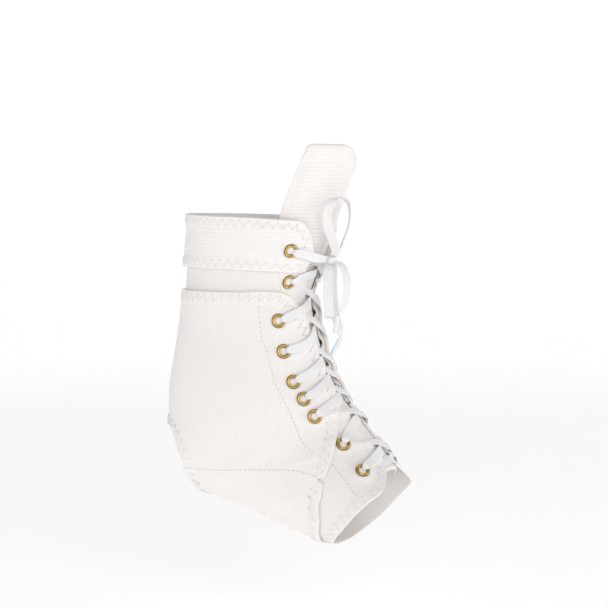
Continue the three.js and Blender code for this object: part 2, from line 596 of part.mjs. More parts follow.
// A loose stretch of the lace from the knot, back to it or to an end gathered into an aglet
function loose(points, wide, tipWidth) {
  const route = [outOfKnot(points[0]), ...points, ...tipWidth ? [] : [outOfKnot(points.at(-1))]];
  return ribbon(stations(route.map((p, i) => ({
    at: new THREE.Vector3(...p), wide: new THREE.Vector3(...wide),
    w: tipWidth && i === route.length - 1 ? tipWidth : LACE_W, t: LACE_T,
  })), 4));
}
for (const [name, points, wide, tipWidth] of [
  ['bow_loop_up', LOOP_UP, [0.8, 0.55, 0.1], 0],
  ['bow_loop_down', LOOP_DOWN, [0.94, 0.34, 0], 0],
  ['lace_end_one', END_ONE, [0.5, 0.85, 0], TIP_W],
  ['lace_end_two', END_TWO, [0.7, 0.7, 0], TIP_W],
]) {
  add(name, loose(points, wide, tipWidth), braid);
}

for (const [name, points, tip] of [
  ['aglet_one', END_ONE, AGLET_ONE_TIP],
  ['aglet_two', END_TWO, AGLET_TWO_TIP],
]) {
  const end = new THREE.Vector3(...tip);
  const start = new THREE.Vector3(...points.at(-1));
  const way = start.clone().sub(end).normalize();
  start.addScaledVector(way, -FIT_GAP - half);
  const rod = stripped(new THREE.CylinderGeometry(AGLET_D / 2, AGLET_D / 2, start.distanceTo(end), 10));
  const mesh = add(name, mergeVertices(rod, 1e-4), clearTip);
  mesh.quaternion.setFromUnitVectors(new THREE.Vector3(0, 1, 0), way);
  mesh.position.copy(start.clone().add(end).multiplyScalar(0.5));
}

export default brace;
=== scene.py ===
# A laced ankle brace of white canvas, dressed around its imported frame.
#
# The brace keeps the form that it has when it is worn. Places on that form are given by a section
# number u, from the tongue's top edge down the leg, round the heel and out along the foot, and by
# an angle v in degrees from the front, positive on the right side. Lengths in tables are in
# millimetres, and the frame is in metres.
import json
import math

import bpy
import numpy as np
from mathutils import Matrix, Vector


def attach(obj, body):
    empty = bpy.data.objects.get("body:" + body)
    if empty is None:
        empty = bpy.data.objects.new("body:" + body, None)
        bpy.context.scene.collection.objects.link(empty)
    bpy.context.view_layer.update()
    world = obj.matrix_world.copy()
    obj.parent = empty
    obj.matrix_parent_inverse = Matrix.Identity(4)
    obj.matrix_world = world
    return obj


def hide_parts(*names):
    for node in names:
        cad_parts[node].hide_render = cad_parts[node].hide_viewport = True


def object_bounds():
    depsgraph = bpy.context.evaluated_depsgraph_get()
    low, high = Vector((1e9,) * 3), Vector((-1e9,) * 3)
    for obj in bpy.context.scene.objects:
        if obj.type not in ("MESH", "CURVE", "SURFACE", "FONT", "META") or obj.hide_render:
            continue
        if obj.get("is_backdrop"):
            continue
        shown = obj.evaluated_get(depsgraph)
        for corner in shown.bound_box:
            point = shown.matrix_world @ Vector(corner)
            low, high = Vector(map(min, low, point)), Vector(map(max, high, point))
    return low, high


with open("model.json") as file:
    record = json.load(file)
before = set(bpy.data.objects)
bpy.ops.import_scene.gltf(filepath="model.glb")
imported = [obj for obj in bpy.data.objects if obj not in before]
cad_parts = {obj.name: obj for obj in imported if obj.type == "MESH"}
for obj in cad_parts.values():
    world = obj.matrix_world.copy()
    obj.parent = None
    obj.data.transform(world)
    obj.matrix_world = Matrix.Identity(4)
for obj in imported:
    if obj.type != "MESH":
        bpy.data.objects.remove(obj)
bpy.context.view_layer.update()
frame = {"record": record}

bl_info = {
    "name": "Laced ankle brace",
    "version": (1, 0, 0),
    "blender": (4, 5, 0),
    "location": "View3D > Sidebar > Brace",
    "description": "Builds the cloth, eyelets, laces and bow of a laced ankle brace",
    "category": "Add Mesh",
}

MM = 0.001
FINISH = {m["slot"]: tuple(m["base_color"][:3]) for m in frame["record"]["materials"]}

# Sizes of the worn form and of the cloth, as the frame has them
LEG_RISE = 101.0
TONGUE_RISE = 150.0
FOOT_DROP = 121.0
FOOT_REACH = 124.0
HEEL_REACH = 60.0
FORM_WIDTH = 67.0
LINING_T = 1.3
PANEL_T = 1.6
TONGUE_T = 2.8
TONGUE_EDGE_T = 1.2
TONGUE_FLARE = 2.5
LAYER_GAP = 0.6
LACE_ROOM = 1.9
CLOTH_ON_TONGUE = 0.35
LOWEST = 10.5                # past this section a lace has no crossing above it, but only its bar
FRONT_EDGE = 12.0            # angle at which a lace goes under the cloth's front edge
TAIL_RISE = 4.4              # how far above its crossing a lace goes under that edge
LACE_BELL = 2.9              # width of the bell by which a lace lifts the cloth over it
EYELET_BELL = 7.5            # and of the flat top about an eyelet
CLOTH_GAP = 0.12             # between two layers that lie on each other
SEAM_LAP = 0.35
FACING_SHOWS = 1.7           # degrees that a facing's folded edge reaches out from under its panel
FIT_GAP = 0.3
NO_HEM = 4.0                 # from a seam between two cloths to where a hem begins to rise
HEM_STARTS = 5.0             # and from there to its full height
SECTION_MM = 14.0            # mean lengths of a section and of a degree, for edges laid out flat
DEGREE_MM = 0.7
FINE = 8                     # cells of a fine grid in one of the frame's own
CELLS_IN_SECTION = 14        # of the tables that lay the form out flat
CELL_DEGREES = 2
STITCH_SHARE = 0.8           # share of a straight stitch's pitch that its thread covers

# A stitch's stations, as shares of its length, and how far its middle stands above the cloth there
STITCH_AT = np.array([0.0, 0.1, 0.3, 0.5, 0.7, 0.9, 1.0])
STITCH_LIFT = np.array([-0.3, 0.0, 0.07, 0.09, 0.07, 0.0, -0.3])
STITCH_SIDES = 6
# Rings of the dark lens of painted shade in a needle hole, as radius and height
PIT_RINGS = ((0.01, 0.05), (0.16, 0.045), (0.27, 0.0), (0.01, -0.1))
PIT_SIDES = 8

# Columns: front point x and z, back point x and z, width, squareness of the back half and of the
# front half. x, z and width are shares of the sizes above.
SECTIONS = np.array([
    [0.524, 2.000, -0.767, 2.000, 1.433, 2.0, 2.0],
    [0.404, 1.000, -0.683, 1.000, 1.254, 2.0, 2.0],
    [0.344, 0.792, -0.705, 0.792, 1.134, 2.0, 2.0],
    [0.273, 0.545, -0.728, 0.554, 1.000, 2.0, 2.0],
    [0.298, 0.297, -0.782, 0.287, 0.985, 2.0, 2.0],
    [0.360, 0.040, -0.877, -0.050, 1.060, 2.1, 2.0],
    [0.435, -0.103, -0.907, -0.248, 1.075, 2.1, 2.0],
    [0.497, -0.178, -1.005, -0.438, 1.030, 2.2, 2.0],
    [0.552, -0.244, -0.750, -0.562, 0.985, 2.4, 2.0],
    [0.606, -0.314, -0.245, -0.624, 1.000, 2.6, 2.0],
    [0.657, -0.380, 0.087, -0.701, 1.060, 2.6, 2.0],
    [0.710, -0.455, 0.351, -0.802, 1.149, 2.6, 2.0],
    [0.802, -0.537, 0.548, -0.880, 1.224, 2.6, 2.0],
    [1.000, -0.636, 0.839, -1.000, 1.284, 2.6, 2.1],
])
TONGUE_EDGE = [47, 57, 58.5, 61, 62, 57, 53, 50, 48, 46, 44, 42, 42, 42]
SLOPE_START = [50, 50, 50, 54, 54, 52, 50, 49, 48, 48, 50, 52, 52, 52]
SLOPE_WIDTH = 45.0

# Edges of the pieces, as points of section and angle
COLLAR_TOP = [(1.0, 44), (0.98, 60), (0.96, 95), (0.94, 134), (0.93, 180)]
COLLAR_FRONT = [(1.0, 44), (1.03, 39.5), (1.15, 34), (1.37, 28.5), (1.85, 23.7), (2.44, 23)]
COLLAR_BOTTOM = [(2.44, 23), (2.44, 49), (2.45, 89.5), (2.44, 131), (2.46, 180)]
BAND_TOP = [(1.12, 50.6), (1.1, 90), (1.08, 134), (1.07, 180)]
BAND_FRONT = [(1.12, 50.6), (1.9, 50.2), (2.46, 47.4), (2.75, 43.9), (2.95, 42.4), (3.15, 50), (3.5, 58)]
BAND_BOTTOM = [(3.5, 58), (3.5, 95), (3.52, 134), (3.52, 180)]
FACING_TOP = [(1.25, 34), (1.22, 50)]
FACING_FRONT = [(1.25, 34), (1.5, 28.5), (1.85, 25.2), (2.41, 19.5), (2.8, 14), (3.2, 11.8),
                (3.7, 11.8), (4.3, 13), (4.8, 12.8), (5.5, 12.2), (6.3, 12.2), (6.62, 12.8)]
FACING_BACK = [(1.22, 50), (1.8, 50), (2.46, 47.6), (2.75, 44.1), (2.95, 42.6), (3.15, 50),
               (3.5, 58), (4.27, 60.4), (5.34, 56.5), (6.2, 55), (7.0, 54), (7.5, 53.5)]
FACING_BOTTOM = [(6.62, 12.8), (6.47, 20), (6.6, 27), (7.1, 33), (7.5, 40), (7.56, 48), (7.5, 53.5)]
PANEL_TOP = [(3.75, 20), (3.49, 24.5), (3.26, 29.5), (3.08, 36), (2.99, 43), (2.96, 60.6),
             (3.0, 79), (3.01, 101.5), (3.03, 134.6), (3.04, 180)]
PANEL_FRONT = [(3.75, 20), (4.0, 16.5), (4.3, 13.5), (4.8, 11.8), (5.3, 11.2), (6.3, 11.2), (6.68, 12.2)]
PANEL_INSTEP = [(6.68, 12.2), (6.87, 20.1), (7.6, 27.3), (8.31, 34.6), (8.99, 44.9),
                (9.71, 57.5), (10.16, 69.7)]
PANEL_BACK = [(3.04, 180), (4.5, 180), (6.05, 180)]
HEEL_EDGE = [(6.05, 180), (6.1, 165), (6.16, 149.7), (6.3, 143.2), (6.55, 135), (6.94, 129.7), (7.36, 130.5)]
SOLE_SEAM = [(7.6, 133), (7.71, 126.4), (7.93, 118), (8.53, 99), (9.01, 90.4), (9.26, 85.4),
             (9.66, 80.1), (10.05, 76)]
SOLE_HEEL = [(7.6, 133), (7.76, 136.4), (7.97, 138.9), (8.14, 142.3), (8.33, 155), (8.4, 180)]
SOLE_TOE = [(10.3, 76), (10.45, 80.4), (10.68, 90.3), (11.1, 108.6), (11.3, 131), (11.4, 155), (11.42, 180)]
WRAP_TOP = [(6.78, 11.5), (6.62, 20), (6.75, 27), (7.25, 33), (7.68, 40), (7.9, 50), (8.8, 57),
            (9.4, 70), (9.75, 80), (10.05, 90), (10.55, 109), (10.85, 131), (11.0, 155), (11.05, 180)]
WRAP_FRONT = [(6.78, 11.5), (7.6, 12), (8.43, 12.6), (9.76, 12.4), (10.3, 13.2), (10.8, 14), (11.2, 15)]
WRAP_TOE = [(11.2, 15), (11.42, 20), (11.51, 23.1), (11.7, 28), (11.84, 33.9), (11.96, 45.5),
            (11.91, 62.3), (11.83, 83.1), (11.8, 99.8), (11.73, 137), (11.72, 180)]
TONGUE_END = 11.3

# Rows of stitching that follow no edge
PANEL_ROW = [(3.28, 61.6), (3.82, 61.8), (4.27, 60.4), (4.48, 57.9), (4.72, 56.9), (5.34, 55.8),
             (5.7, 54.6), (7.02, 53.2), (8.1, 58), (8.9, 60.7)]
WRAP_ROW = [(9.62, 56.6), (10.0, 57.6), (10.68, 60.3), (11.13, 63), (11.45, 65)]
WRAP_EDGE_ROW = [(6.92, 20.2), (7.86, 22), (8.9, 22.4), (10.22, 23.6), (10.8, 25)]

BACK_SEAM = [(3.2, 180), (4.5, 180), (5.95, 180)]
HEEL_ROW = [(6.07, 175), *HEEL_EDGE[1:]]

# Eyelets. Columns: section, angle, 1 where the collar or a side panel lies over the facing, and
# the section at which the laces that go to it cross
EYELETS = [
    (1.84, 44.8, 1, 2.38),
    (2.70, 36.9, 0, 3.18),
    (3.76, 46.9, 1, 3.93),
    (4.47, 46.0, 1, 4.67),
    (5.27, 43.7, 1, 5.22),
    (5.92, 41.6, 1, 6.00),
    (6.91, 39.8, 1, 7.60),
    (9.05, 38.5, 0, 9.90),
    (10.78, 42.7, 0, 10.78),
]
# Points that each lace passes on its way from its eyelet to the front
LACE_ROUTES = [
    [(1.96, 32.2), (2.05, 20.2)],
    [(2.64, 29.0), (2.56, 17.5)],
    [(3.63, 33.6), (3.47, 18.9)],
    [(4.42, 32.7), (4.26, 18.5)],
    [(5.12, 30.5), (4.92, 18.6)],
    [(5.74, 29.0), (5.50, 17.5)],
    [(6.62, 28.0), (6.37, 17.5)],
    [(8.48, 26.5), (8.13, 18.0)],
    [(10.6, 31.0), (10.40, 20.0)],
]
EYELET_OUTER = 9.2
EYELET_BORE = 4.5
BARREL_WALL = 0.4
FLANGE_RISE = 0.95

# The lace and the tied bow, with the bow's points in millimetres
LACE_W = 6.0
LACE_T = 0.9
TUCKED_W = 4.4
BORE_W = 2.7
TIP_W = 1.8
# How each half of the lace passes the front, from over the cloth on one side to under it on the
# other, by the side that it comes from. Columns: angle towards that side, how far above the crossing,
# how far above the middle of the room under the cloth, and width
PASSING = {
    -1: ((9.5, -2.4, 3.4, LACE_W), (4, -1.0, 3.0, TUCKED_W), (-1, 1.2, 2.2, TUCKED_W),
         (-5, 3.4, 1.5, TUCKED_W), (-9, 4.2, 0.5, TUCKED_W), (-13, 4.4, 0, TUCKED_W)),
    1: ((9.5, -2.8, 3.2, LACE_W), (5, -2.2, 1.7, TUCKED_W), (1, -0.6, 0.4, TUCKED_W),
        (-4, 2.0, 0, TUCKED_W), (-13, 4.4, 0, TUCKED_W)),
}
# Stations of a lace from inside its bore to past the flange, as distances from the bore's middle and
# widths
OUT_SLIDES = (1.35, 1.4, 2.1, 3.4, 5.6)
OUT_WIDTHS = (BORE_W, BORE_W, LACE_W * 0.66, LACE_W * 0.9, LACE_W)
# Distances from the bore's middle at which a lace under the cloth begins to gather, reaches the bore
# and turns up into it
INTO_SLIDES = (7.5, 3.2, 1.7)
LACE_CLEAR = 4.0             # from a lace's edge to where it counts as lying on the next layer
KNOT_SIZE = 8.0
AGLET_D = 3.0
KNOT_AT = (53.2, -4.0, 74.4)
LOOP_UP = [(57.6, -8, 79.6), (58.1, -14, 85.4), (57.9, -23, 94.9), (58.7, -27, 104.8),
           (61.6, -25, 111.9), (63.7, -16, 113.7), (65.5, -8, 110.3), (65.8, -5, 103.4),
           (64.2, -4, 94.6), (60.9, -3, 87), (57.6, -2, 80.4)]
LOOP_DOWN = [(53, -10, 67.6), (53.7, -12, 59), (54.1, -12, 46.4), (53.3, -9, 39),
             (51.6, -4, 38.4), (50.5, -1, 45.8), (50.9, -1, 58.5), (51.9, -3, 67.2)]
END_ONE = [(58.3, -5, 72.8), (61.9, -6, 69.5), (64.6, -7, 61.4), (64.3, -7, 53.3),
           (62.3, -7, 45.7), (58.6, -6, 40.6)]
END_TWO = [(51.8, 3.2, 68.2), (50.9, 5.5, 58.2), (51.3, 6.5, 46.7), (52.6, 6, 37.9),
           (55.5, 5, 31), (56.8, 4, 25.1)]
AGLET_ONE_TIP = (55.7, -5, 28.5)
AGLET_TWO_TIP = (50.8, 3, 13.9)
# Turns of the knot. Columns: tilt in radians, radius, and the lace's width and thickness
KNOT_TURNS = [(0.35, 2.9, 3.8, 1.1), (1.9, 2.4, 3.6, 1.1), (2.7, 1.9, 3.2, 1.3)]

# Folds of the worn cloth. Columns: depth as a share of the fold depth, place in flat millimetres
# along and round the form, slant, width and length
WORN_FOLDS = [(1.1, 111, 62, 0.35, 3.2, 16), (-1.0, 96, 84, -0.5, 4.2, 12), (0.8, 127, 50, -0.25, 3.0, 10)]

# The photograph's view: degrees round from the side and above the horizon, metres to the origin's
# depth, millimetres that one pixel covers there, and the origin's pixel in the 608 x 608 frame
VIEW_AROUND = 20.0
VIEW_ABOVE = 3.0
VIEW_DISTANCE = 1.5
PIXEL_MM = 0.64
FRAME_PIXELS = 608
ORIGIN_PIXEL = (255.0, 375.0)
FLOOR_DROP = 0.055
FLOOR_RADIUS = 2.2
WALL_BEND = 0.9
WALL_HEIGHT = 1.5
BACKDROP_GLOW = 0.4
WORLD_LIGHT = 0.35
# Lights of the stage. Columns: name, place, size and power
LIGHTS = [
    ("key_light", (0.85, -1.3, 0.6), 0.8, 4.35),
    ("fill_light", (-0.9, -1.4, 0.3), 1.4, 3.6),
    ("front_light", (1.4, 0.2, 0.3), 0.8, 3.3),
    ("top_light", (0.2, 0.1, 1.5), 1.2, 0.5),
]

# Unevenness of all cloth. Columns: patterns for each metre, share, and the colour's brightness and
# warmth
STAINS = (24, 0.3, 0.97, 0.008)
SPOTS = (160, 0.35, 1.03, -0.004)
SPOT_BUMP = 0.00018
FUZZ = 5200
FUZZ_BUMP = 0.00006
TWILL_WAY = (0.906, 0.423)   # cosine and sine of the angle of the twill's ridges

# Brightness of the brass from the bore out to the rim, as places from 0 to 1 and factors. The bright bands on
# the crests are painted highlights together with wear, and the dark bands in the bore, the groove and at the
# rim are painted shade together with patina.
BRASS_LIGHT_AND_PATINA_STOPS = ((0.0, 0.08), (0.1, 0.4), (0.24, 1.9), (0.36, 0.8), (0.46, 0.25), (0.6, 1.95),
               (0.76, 1.3), (0.87, 0.35), (1.0, 0.08))


def length_property(name, description, length, least, most):
    """A length in metres that a user can change"""
    return bpy.props.FloatProperty(
        name=name, description=description, default=length, min=least, max=most, unit="LENGTH")


class BraceCloth(bpy.types.PropertyGroup):
    """Sizes of the cloth's hems, folds and weaves"""
    hem_width: length_property(
        "Hem width", "How far a folded hem reaches in from its edge", 0.0072, 0.001, 0.02)
    hem_rise: length_property(
        "Hem rise", "How far a folded hem stands above the cloth beside it", 0.00035, 0.0, 0.001)
    fold_depth: length_property(
        "Fold depth", "Depth of the soft folds that wear puts into the cloth", 0.0007, 0.0, 0.002)
    twill_pitch: length_property(
        "Twill pitch", "From one diagonal ridge of the canvas to the next", 0.00256, 0.0003, 0.006)
    rib_pitch: length_property(
        "Rib pitch", "From one rib of the collar or the tongue to the next", 0.00256, 0.0005, 0.01)


class BraceThread(bpy.types.PropertyGroup):
    """Sizes of the stitching and of the lace's weave"""
    thread: length_property(
        "Thread", "Diameter of the sewing thread", 0.0003, 0.0001, 0.001)
    zigzag_pitch: length_property(
        "Zigzag pitch", "From one turn of a zigzag row to the next on the same side", 0.0054, 0.002, 0.02)
    zigzag_inset: length_property(
        "Zigzag inset", "From the hem's edge to the nearer turns of its zigzag row", 0.0021, 0.0005, 0.01)
    zigzag_width: length_property(
        "Zigzag width", "Across a zigzag row", 0.0044, 0.001, 0.01)
    stitch_pitch: length_property(
        "Stitch pitch", "From one straight stitch to the next", 0.0032, 0.001, 0.01)
    lace_rib: length_property(
        "Lace rib", "From one cross rib of the woven lace to the next", 0.0011, 0.0003, 0.004)


def colour_property(name, description, colour):
    """A colour that a user can change, with the frame's finish as its default"""
    return bpy.props.FloatVectorProperty(
        name=name, description=description, default=colour, size=3, min=0.0, max=1.0, subtype="COLOR")


class BraceColours(bpy.types.PropertyGroup):
    """Colours of the finishes"""
    canvas: colour_property("Canvas", "Cloth of the panels, facings and wraps", FINISH["canvas"])
    elastic: colour_property("Collar", "Ribbed elastic of the collar", FINISH["elastic"])
    lining: colour_property("Band", "Smooth cloth of the ankle band", FINISH["lining"])
    padding: colour_property("Tongue", "Ribbed cover of the tongue", FINISH["padding"])
    braid: colour_property("Lace", "Woven lace", FINISH["braid"])
    brass: colour_property("Brass", "Metal of the eyelets", FINISH["brass"])
    aglet: colour_property("Aglet", "Clear tips of the lace", FINISH["aglet"])
    floor: colour_property("Floor", "Floor and backdrop", (0.93, 0.93, 0.93))


# The worn form

def smooth(x):
    """0 below 0, 1 above 1, and three times the square less twice the cube between them"""
    x = np.clip(x, 0.0, 1.0)
    return x * x * (3 - 2 * x)


def through(values, x):
    """Uniform Catmull-Rom curve through evenly spaced values, or rows of values, at numbers x"""
    values = np.asarray(values, float)
    x = np.clip(np.asarray(x, float), 0, len(values) - 1)
    i = np.clip(np.floor(x).astype(int), 0, len(values) - 2)
    t = x - i
    if values.ndim > 1:
        t = t[..., None]
    padded = np.concatenate([[2 * values[0] - values[1]], values, [2 * values[-1] - values[-2]]])
    p0, p1, p2, p3 = padded[i], padded[i + 1], padded[i + 2], padded[i + 3]
    return 0.5 * (2 * p1 + (p2 - p0) * t + (2 * p0 - 5 * p1 + 4 * p2 - p3) * t ** 2
                  + (3 * p1 - p0 - 3 * p2 + p3) * t ** 3)


def rise(share):
    """Height of a share of the leg above the joint, of the foot below it, and of the tongue past 1"""
    return np.where(share < 0, share * FOOT_DROP,
                    np.where(share <= 1, share * LEG_RISE,
                             LEG_RISE + (share - 1) * (TONGUE_RISE - LEG_RISE)))


def reach(share):
    """Place along the foot: a share of the reach to the toes, or of the reach to the heel below 0"""
    return np.where(share < 0, share * HEEL_REACH, share * FOOT_REACH)


ROWS = np.column_stack([
    reach(SECTIONS[:, 0]), rise(SECTIONS[:, 1]), reach(SECTIONS[:, 2]), rise(SECTIONS[:, 3]),
    SECTIONS[:, 4] * FORM_WIDTH / 2, SECTIONS[:, 5], SECTIONS[:, 6]])
LAST = len(ROWS) - 1


def skin(u, v):
    """The form: a superellipse in the plane of each section, whose axes join its front and back
    points and its two sides. Each of cosine and sine is raised to 2 over the squareness."""
    u, v = np.broadcast_arrays(np.asarray(u, float), np.asarray(v, float))
    fx, fz, bx, bz, w, back, front = np.moveaxis(through(ROWS, u), -1, 0)
    c, s = np.cos(np.radians(v)), np.sin(np.radians(v))
    power = 2 / np.where(c < 0, back, front)
    along = np.sign(c) * np.abs(c) ** power
    across = np.sign(s) * np.abs(s) ** power
    return np.stack([(fx + bx) / 2 + (fx - bx) / 2 * along, -w * across,
                     (fz + bz) / 2 + (fz - bz) / 2 * along], -1)


def unit(vectors):
    """Vectors divided by their lengths"""
    return vectors / np.maximum(np.linalg.norm(vectors, axis=-1, keepdims=True), 1e-12)


def circle(count):
    """Even angles round a circle"""
    return np.linspace(0, 2 * np.pi, count, endpoint=False)


def slopes(u, v):
    """Change of place with section and with angle, in millimetres for each"""
    du = (skin(np.minimum(u + 0.01, LAST), v) - skin(np.maximum(u - 0.01, 0), v)) \
        / (np.minimum(u + 0.01, LAST) - np.maximum(u - 0.01, 0))[..., None]
    dv = skin(u, v + 0.5) - skin(u, v - 0.5)
    return du, dv


def normal(u, v):
    """Outward normal of the form: the cross product of its two slopes, at unit length"""
    u, v = np.broadcast_arrays(np.asarray(u, float), np.asarray(v, float))
    du, dv = slopes(u, v)
    return unit(np.cross(dv, du))


def surface(u, v, height):
    """The form moved out along its normal by a height and by the folds of the cloth"""
    return skin(u, v) + normal(u, v) * (np.asarray(height, float) + worn_folds(u, v))[..., None]


def from_front(v):
    """Angle from the front, on either side"""
    return np.abs((np.asarray(v, float) + 180) % 360 - 180)


def flare(u, v):
    """How far the tongue's inner face stands off the leg: all over its top, and down its middle to
    where the facings hold it"""
    top = smooth(np.asarray(u) / 0.95)
    return TONGUE_FLARE * (1 - top + top * (1 - smooth((u - 1) / 1.4)) * (1 - smooth(from_front(v) / 22)))


def tongue_top(share):
    """Section of the tongue's top edge across its width: level on the right, and down by a smooth
    step on the left, where it is worn askew, with a small quarter circle at each corner"""
    corner = np.clip((np.abs(share) - 0.9) / 0.1, 0, 0.98)
    return 0.045 + 0.075 * (1 - np.sqrt(1 - corner ** 2)) + 0.26 * smooth((0.4 - share) / 1.1)


def tongue_height(u, v):
    """The tongue's outer face, which comes down by a smooth step to a thin bound edge"""
    share = from_front(v) / through(TONGUE_EDGE, u)
    return flare(u, v) + TONGUE_T - (TONGUE_T - TONGUE_EDGE_T) * smooth((share - 0.8) / 0.2)


def lace_ridges(u, v):
    """From 0 to 1, how much a lace or an eyelet under the cloth lifts it: a bell curve of the
    distance to each stretch of lace, from the front edge to its eyelet, and a flat top about each
    eyelet"""
    x, y = np.asarray(u) * SECTION_MM, from_front(v) * DEGREE_MM
    gap = np.ones(np.broadcast(x, y).shape)
    for at, angle, _, cross in EYELETS:
        end = np.array([at * SECTION_MM, angle * DEGREE_MM])
        start = np.array([(cross if cross < LOWEST else at) * SECTION_MM - TAIL_RISE, FRONT_EDGE * DEGREE_MM])
        way = end - start
        share = np.clip(((x - start[0]) * way[0] + (y - start[1]) * way[1]) / (way @ way), -1, 1)
        beside = (x - start[0] - share * way[0]) ** 2 + (y - start[1] - share * way[1]) ** 2
        gap = gap * (1 - np.exp(-beside / LACE_BELL ** 2))
        gap = gap * (1 - np.exp(-((x - end[0]) ** 2 + (y - end[1]) ** 2) ** 2 / EYELET_BELL ** 4))
    return 1 - gap


def base(u, v):
    """Inner face of the first layer: on the tongue and on the laces under it at the front, and on
    the form behind them"""
    behind = smooth((from_front(v) - through(SLOPE_START, u)) / SLOPE_WIDTH)
    lifted = CLOTH_ON_TONGUE + (LACE_ROOM - CLOTH_ON_TONGUE) * lace_ridges(u, v)
    return (TONGUE_T + lifted) * (1 - behind)


def worn_folds(u, v):
    """Soft folds that all the layers share behind the eyelets: the sum of two slow waves over the
    sides and of three slanted bell curves. Its lengths are in flat millimetres."""
    x, y = np.asarray(u, float) * SECTION_MM, from_front(v) * DEGREE_MM
    side = np.sign(np.sin(np.radians(v)))
    folds = np.sin(x / 15 + y / 31 + 0.7 * side) * 0.35 + np.sin(x / 10 - y / 17 + 1.3 + side) * 0.2
    for depth, at_x, at_y, slant, width, length in WORN_FOLDS:
        folds = folds + depth * np.exp(
            -((x - at_x - slant * (y - at_y)) / width) ** 2 - ((y - at_y) / length) ** 2)
    behind = smooth((from_front(v) - 46) / 16)
    return bpy.context.scene.brace_cloth.fold_depth / MM * folds * behind


def lining_top(u, v):
    """Outer face of the first layer"""
    return base(u, v) + LINING_T


def shell_top(u, v):
    """Outer face of the outer layer"""
    return lining_top(u, v) + LAYER_GAP + PANEL_T


def lying(u, v):
    """Inner face of the outer layer, which lies on the layer below it"""
    return lining_top(u, v) + CLOTH_GAP


def folded_under(u, v):
    """Inner face of the facings and the forefoot wrap: their front edges are folded under, and
    reach down to the tongue between the laces"""
    low = base(u, v)
    at_edge = 1 - smooth((from_front(v) - 15) / 5)
    down = np.maximum(low - TONGUE_T - CLOTH_GAP, 0)
    return low - 0.97 * down * at_edge * (1 - lace_ridges(u, v) ** 6)


# Edges and grids

FLAT_SCALE = np.array([SECTION_MM, DEGREE_MM])


def dense_curve(points, samples=40):
    """Centripetal Catmull-Rom curve through points, as many points along each of its spans"""
    p = np.asarray(points, float)
    p = np.concatenate([[2 * p[0] - p[1]], p, [2 * p[-1] - p[-2]]])
    step = np.maximum(np.linalg.norm(np.diff(p, axis=0), axis=1) ** 0.5, 1e-6)
    knots = np.concatenate([[0], np.cumsum(step)])
    spans = []
    for k in range(1, len(p) - 2):
        t = np.linspace(knots[k], knots[k + 1], samples, endpoint=False)[:, None]
        k0, k1, k2, k3 = knots[k - 1:k + 3]
        a1 = ((k1 - t) * p[k - 1] + (t - k0) * p[k]) / (k1 - k0)
        a2 = ((k2 - t) * p[k] + (t - k1) * p[k + 1]) / (k2 - k1)
        a3 = ((k3 - t) * p[k + 1] + (t - k2) * p[k + 2]) / (k3 - k2)
        b1 = ((k2 - t) * a1 + (t - k0) * a2) / (k2 - k0)
        b2 = ((k3 - t) * a2 + (t - k1) * a3) / (k3 - k1)
        spans.append(((k2 - t) * b1 + (t - k1) * b2) / (k2 - k1))
    return np.concatenate(spans + [p[-2:-1]])


def lengths(points):
    """Distance along a line at each of its points"""
    return np.concatenate([[0], np.cumsum(np.linalg.norm(np.diff(points, axis=0), axis=1))])


def read_at(places, at, rows):
    """Rows of numbers that stand at increasing places, read between them at other places"""
    return np.column_stack([np.interp(places, at, column) for column in rows.T])


def edge(points, cells, lean=1.0):
    """Points along an edge of section and angle, closer together at its start by the lean, as many
    for each of its cells as a fine grid has"""
    line = dense_curve(np.asarray(points, float) * FLAT_SCALE)
    steps = cells * FINE
    at = lengths(line)
    return read_at(at[-1] * (np.arange(steps + 1) / steps) ** lean, at, line) / FLAT_SCALE


def chain(*edges):
    """Edges one after the other, each of which starts where the last one ends"""
    return np.concatenate([edges[0]] + [e[1:] for e in edges[1:]])


def mirrored(points):
    """An edge's mirror image past the back, in the other direction"""
    points = np.asarray(points, float)
    return np.column_stack([points[:, 0], 360 - points[:, 1]])[::-1]


def round_back(points):
    """An edge and its mirror image, as one line round the back"""
    return chain(points, mirrored(points))


def shifted(points, sections, angle):
    """An edge moved by a part of a section and an angle"""
    return np.asarray(points, float) + (sections, angle)


RIM = np.array([0, 0.04, 0.13, 0.28, 0.5, 0.75])


def rimmed(grid, axis):
    """The same grid with more lines next to its two ends along an axis, where cloth rounds over its
    edge, each at a share of the way between two of the old lines"""
    last = grid.shape[axis] - 1
    at = np.concatenate([RIM, np.arange(1, last), last - RIM[::-1]])
    first = np.minimum(np.floor(at).astype(int), last - 1)
    share = np.expand_dims(at - first, tuple(k for k in range(grid.ndim) if k != axis))
    return np.take(grid, first, axis) * (1 - share) + np.take(grid, first + 1, axis) * share


def coons(top, bottom, left, right):
    """Coons patch: the sum of the two blends between opposite edges, less the blend between the
    four corners"""
    s = np.linspace(0, 1, len(top))[None, :, None]
    t = np.linspace(0, 1, len(left))[:, None, None]
    top, bottom, left, right = top[None], bottom[None], left[:, None], right[:, None]
    return ((1 - t) * top + t * bottom + (1 - s) * left + s * right
            - (1 - s) * (1 - t) * top[:, :1] - s * (1 - t) * top[:, -1:]
            - (1 - s) * t * bottom[:, :1] - s * t * bottom[:, -1:])


def patch(top, bottom, left, right):
    """A patch between four edges, with more lines of its grid next to them"""
    return rimmed(rimmed(coons(top, bottom, left, right), 1), 0)


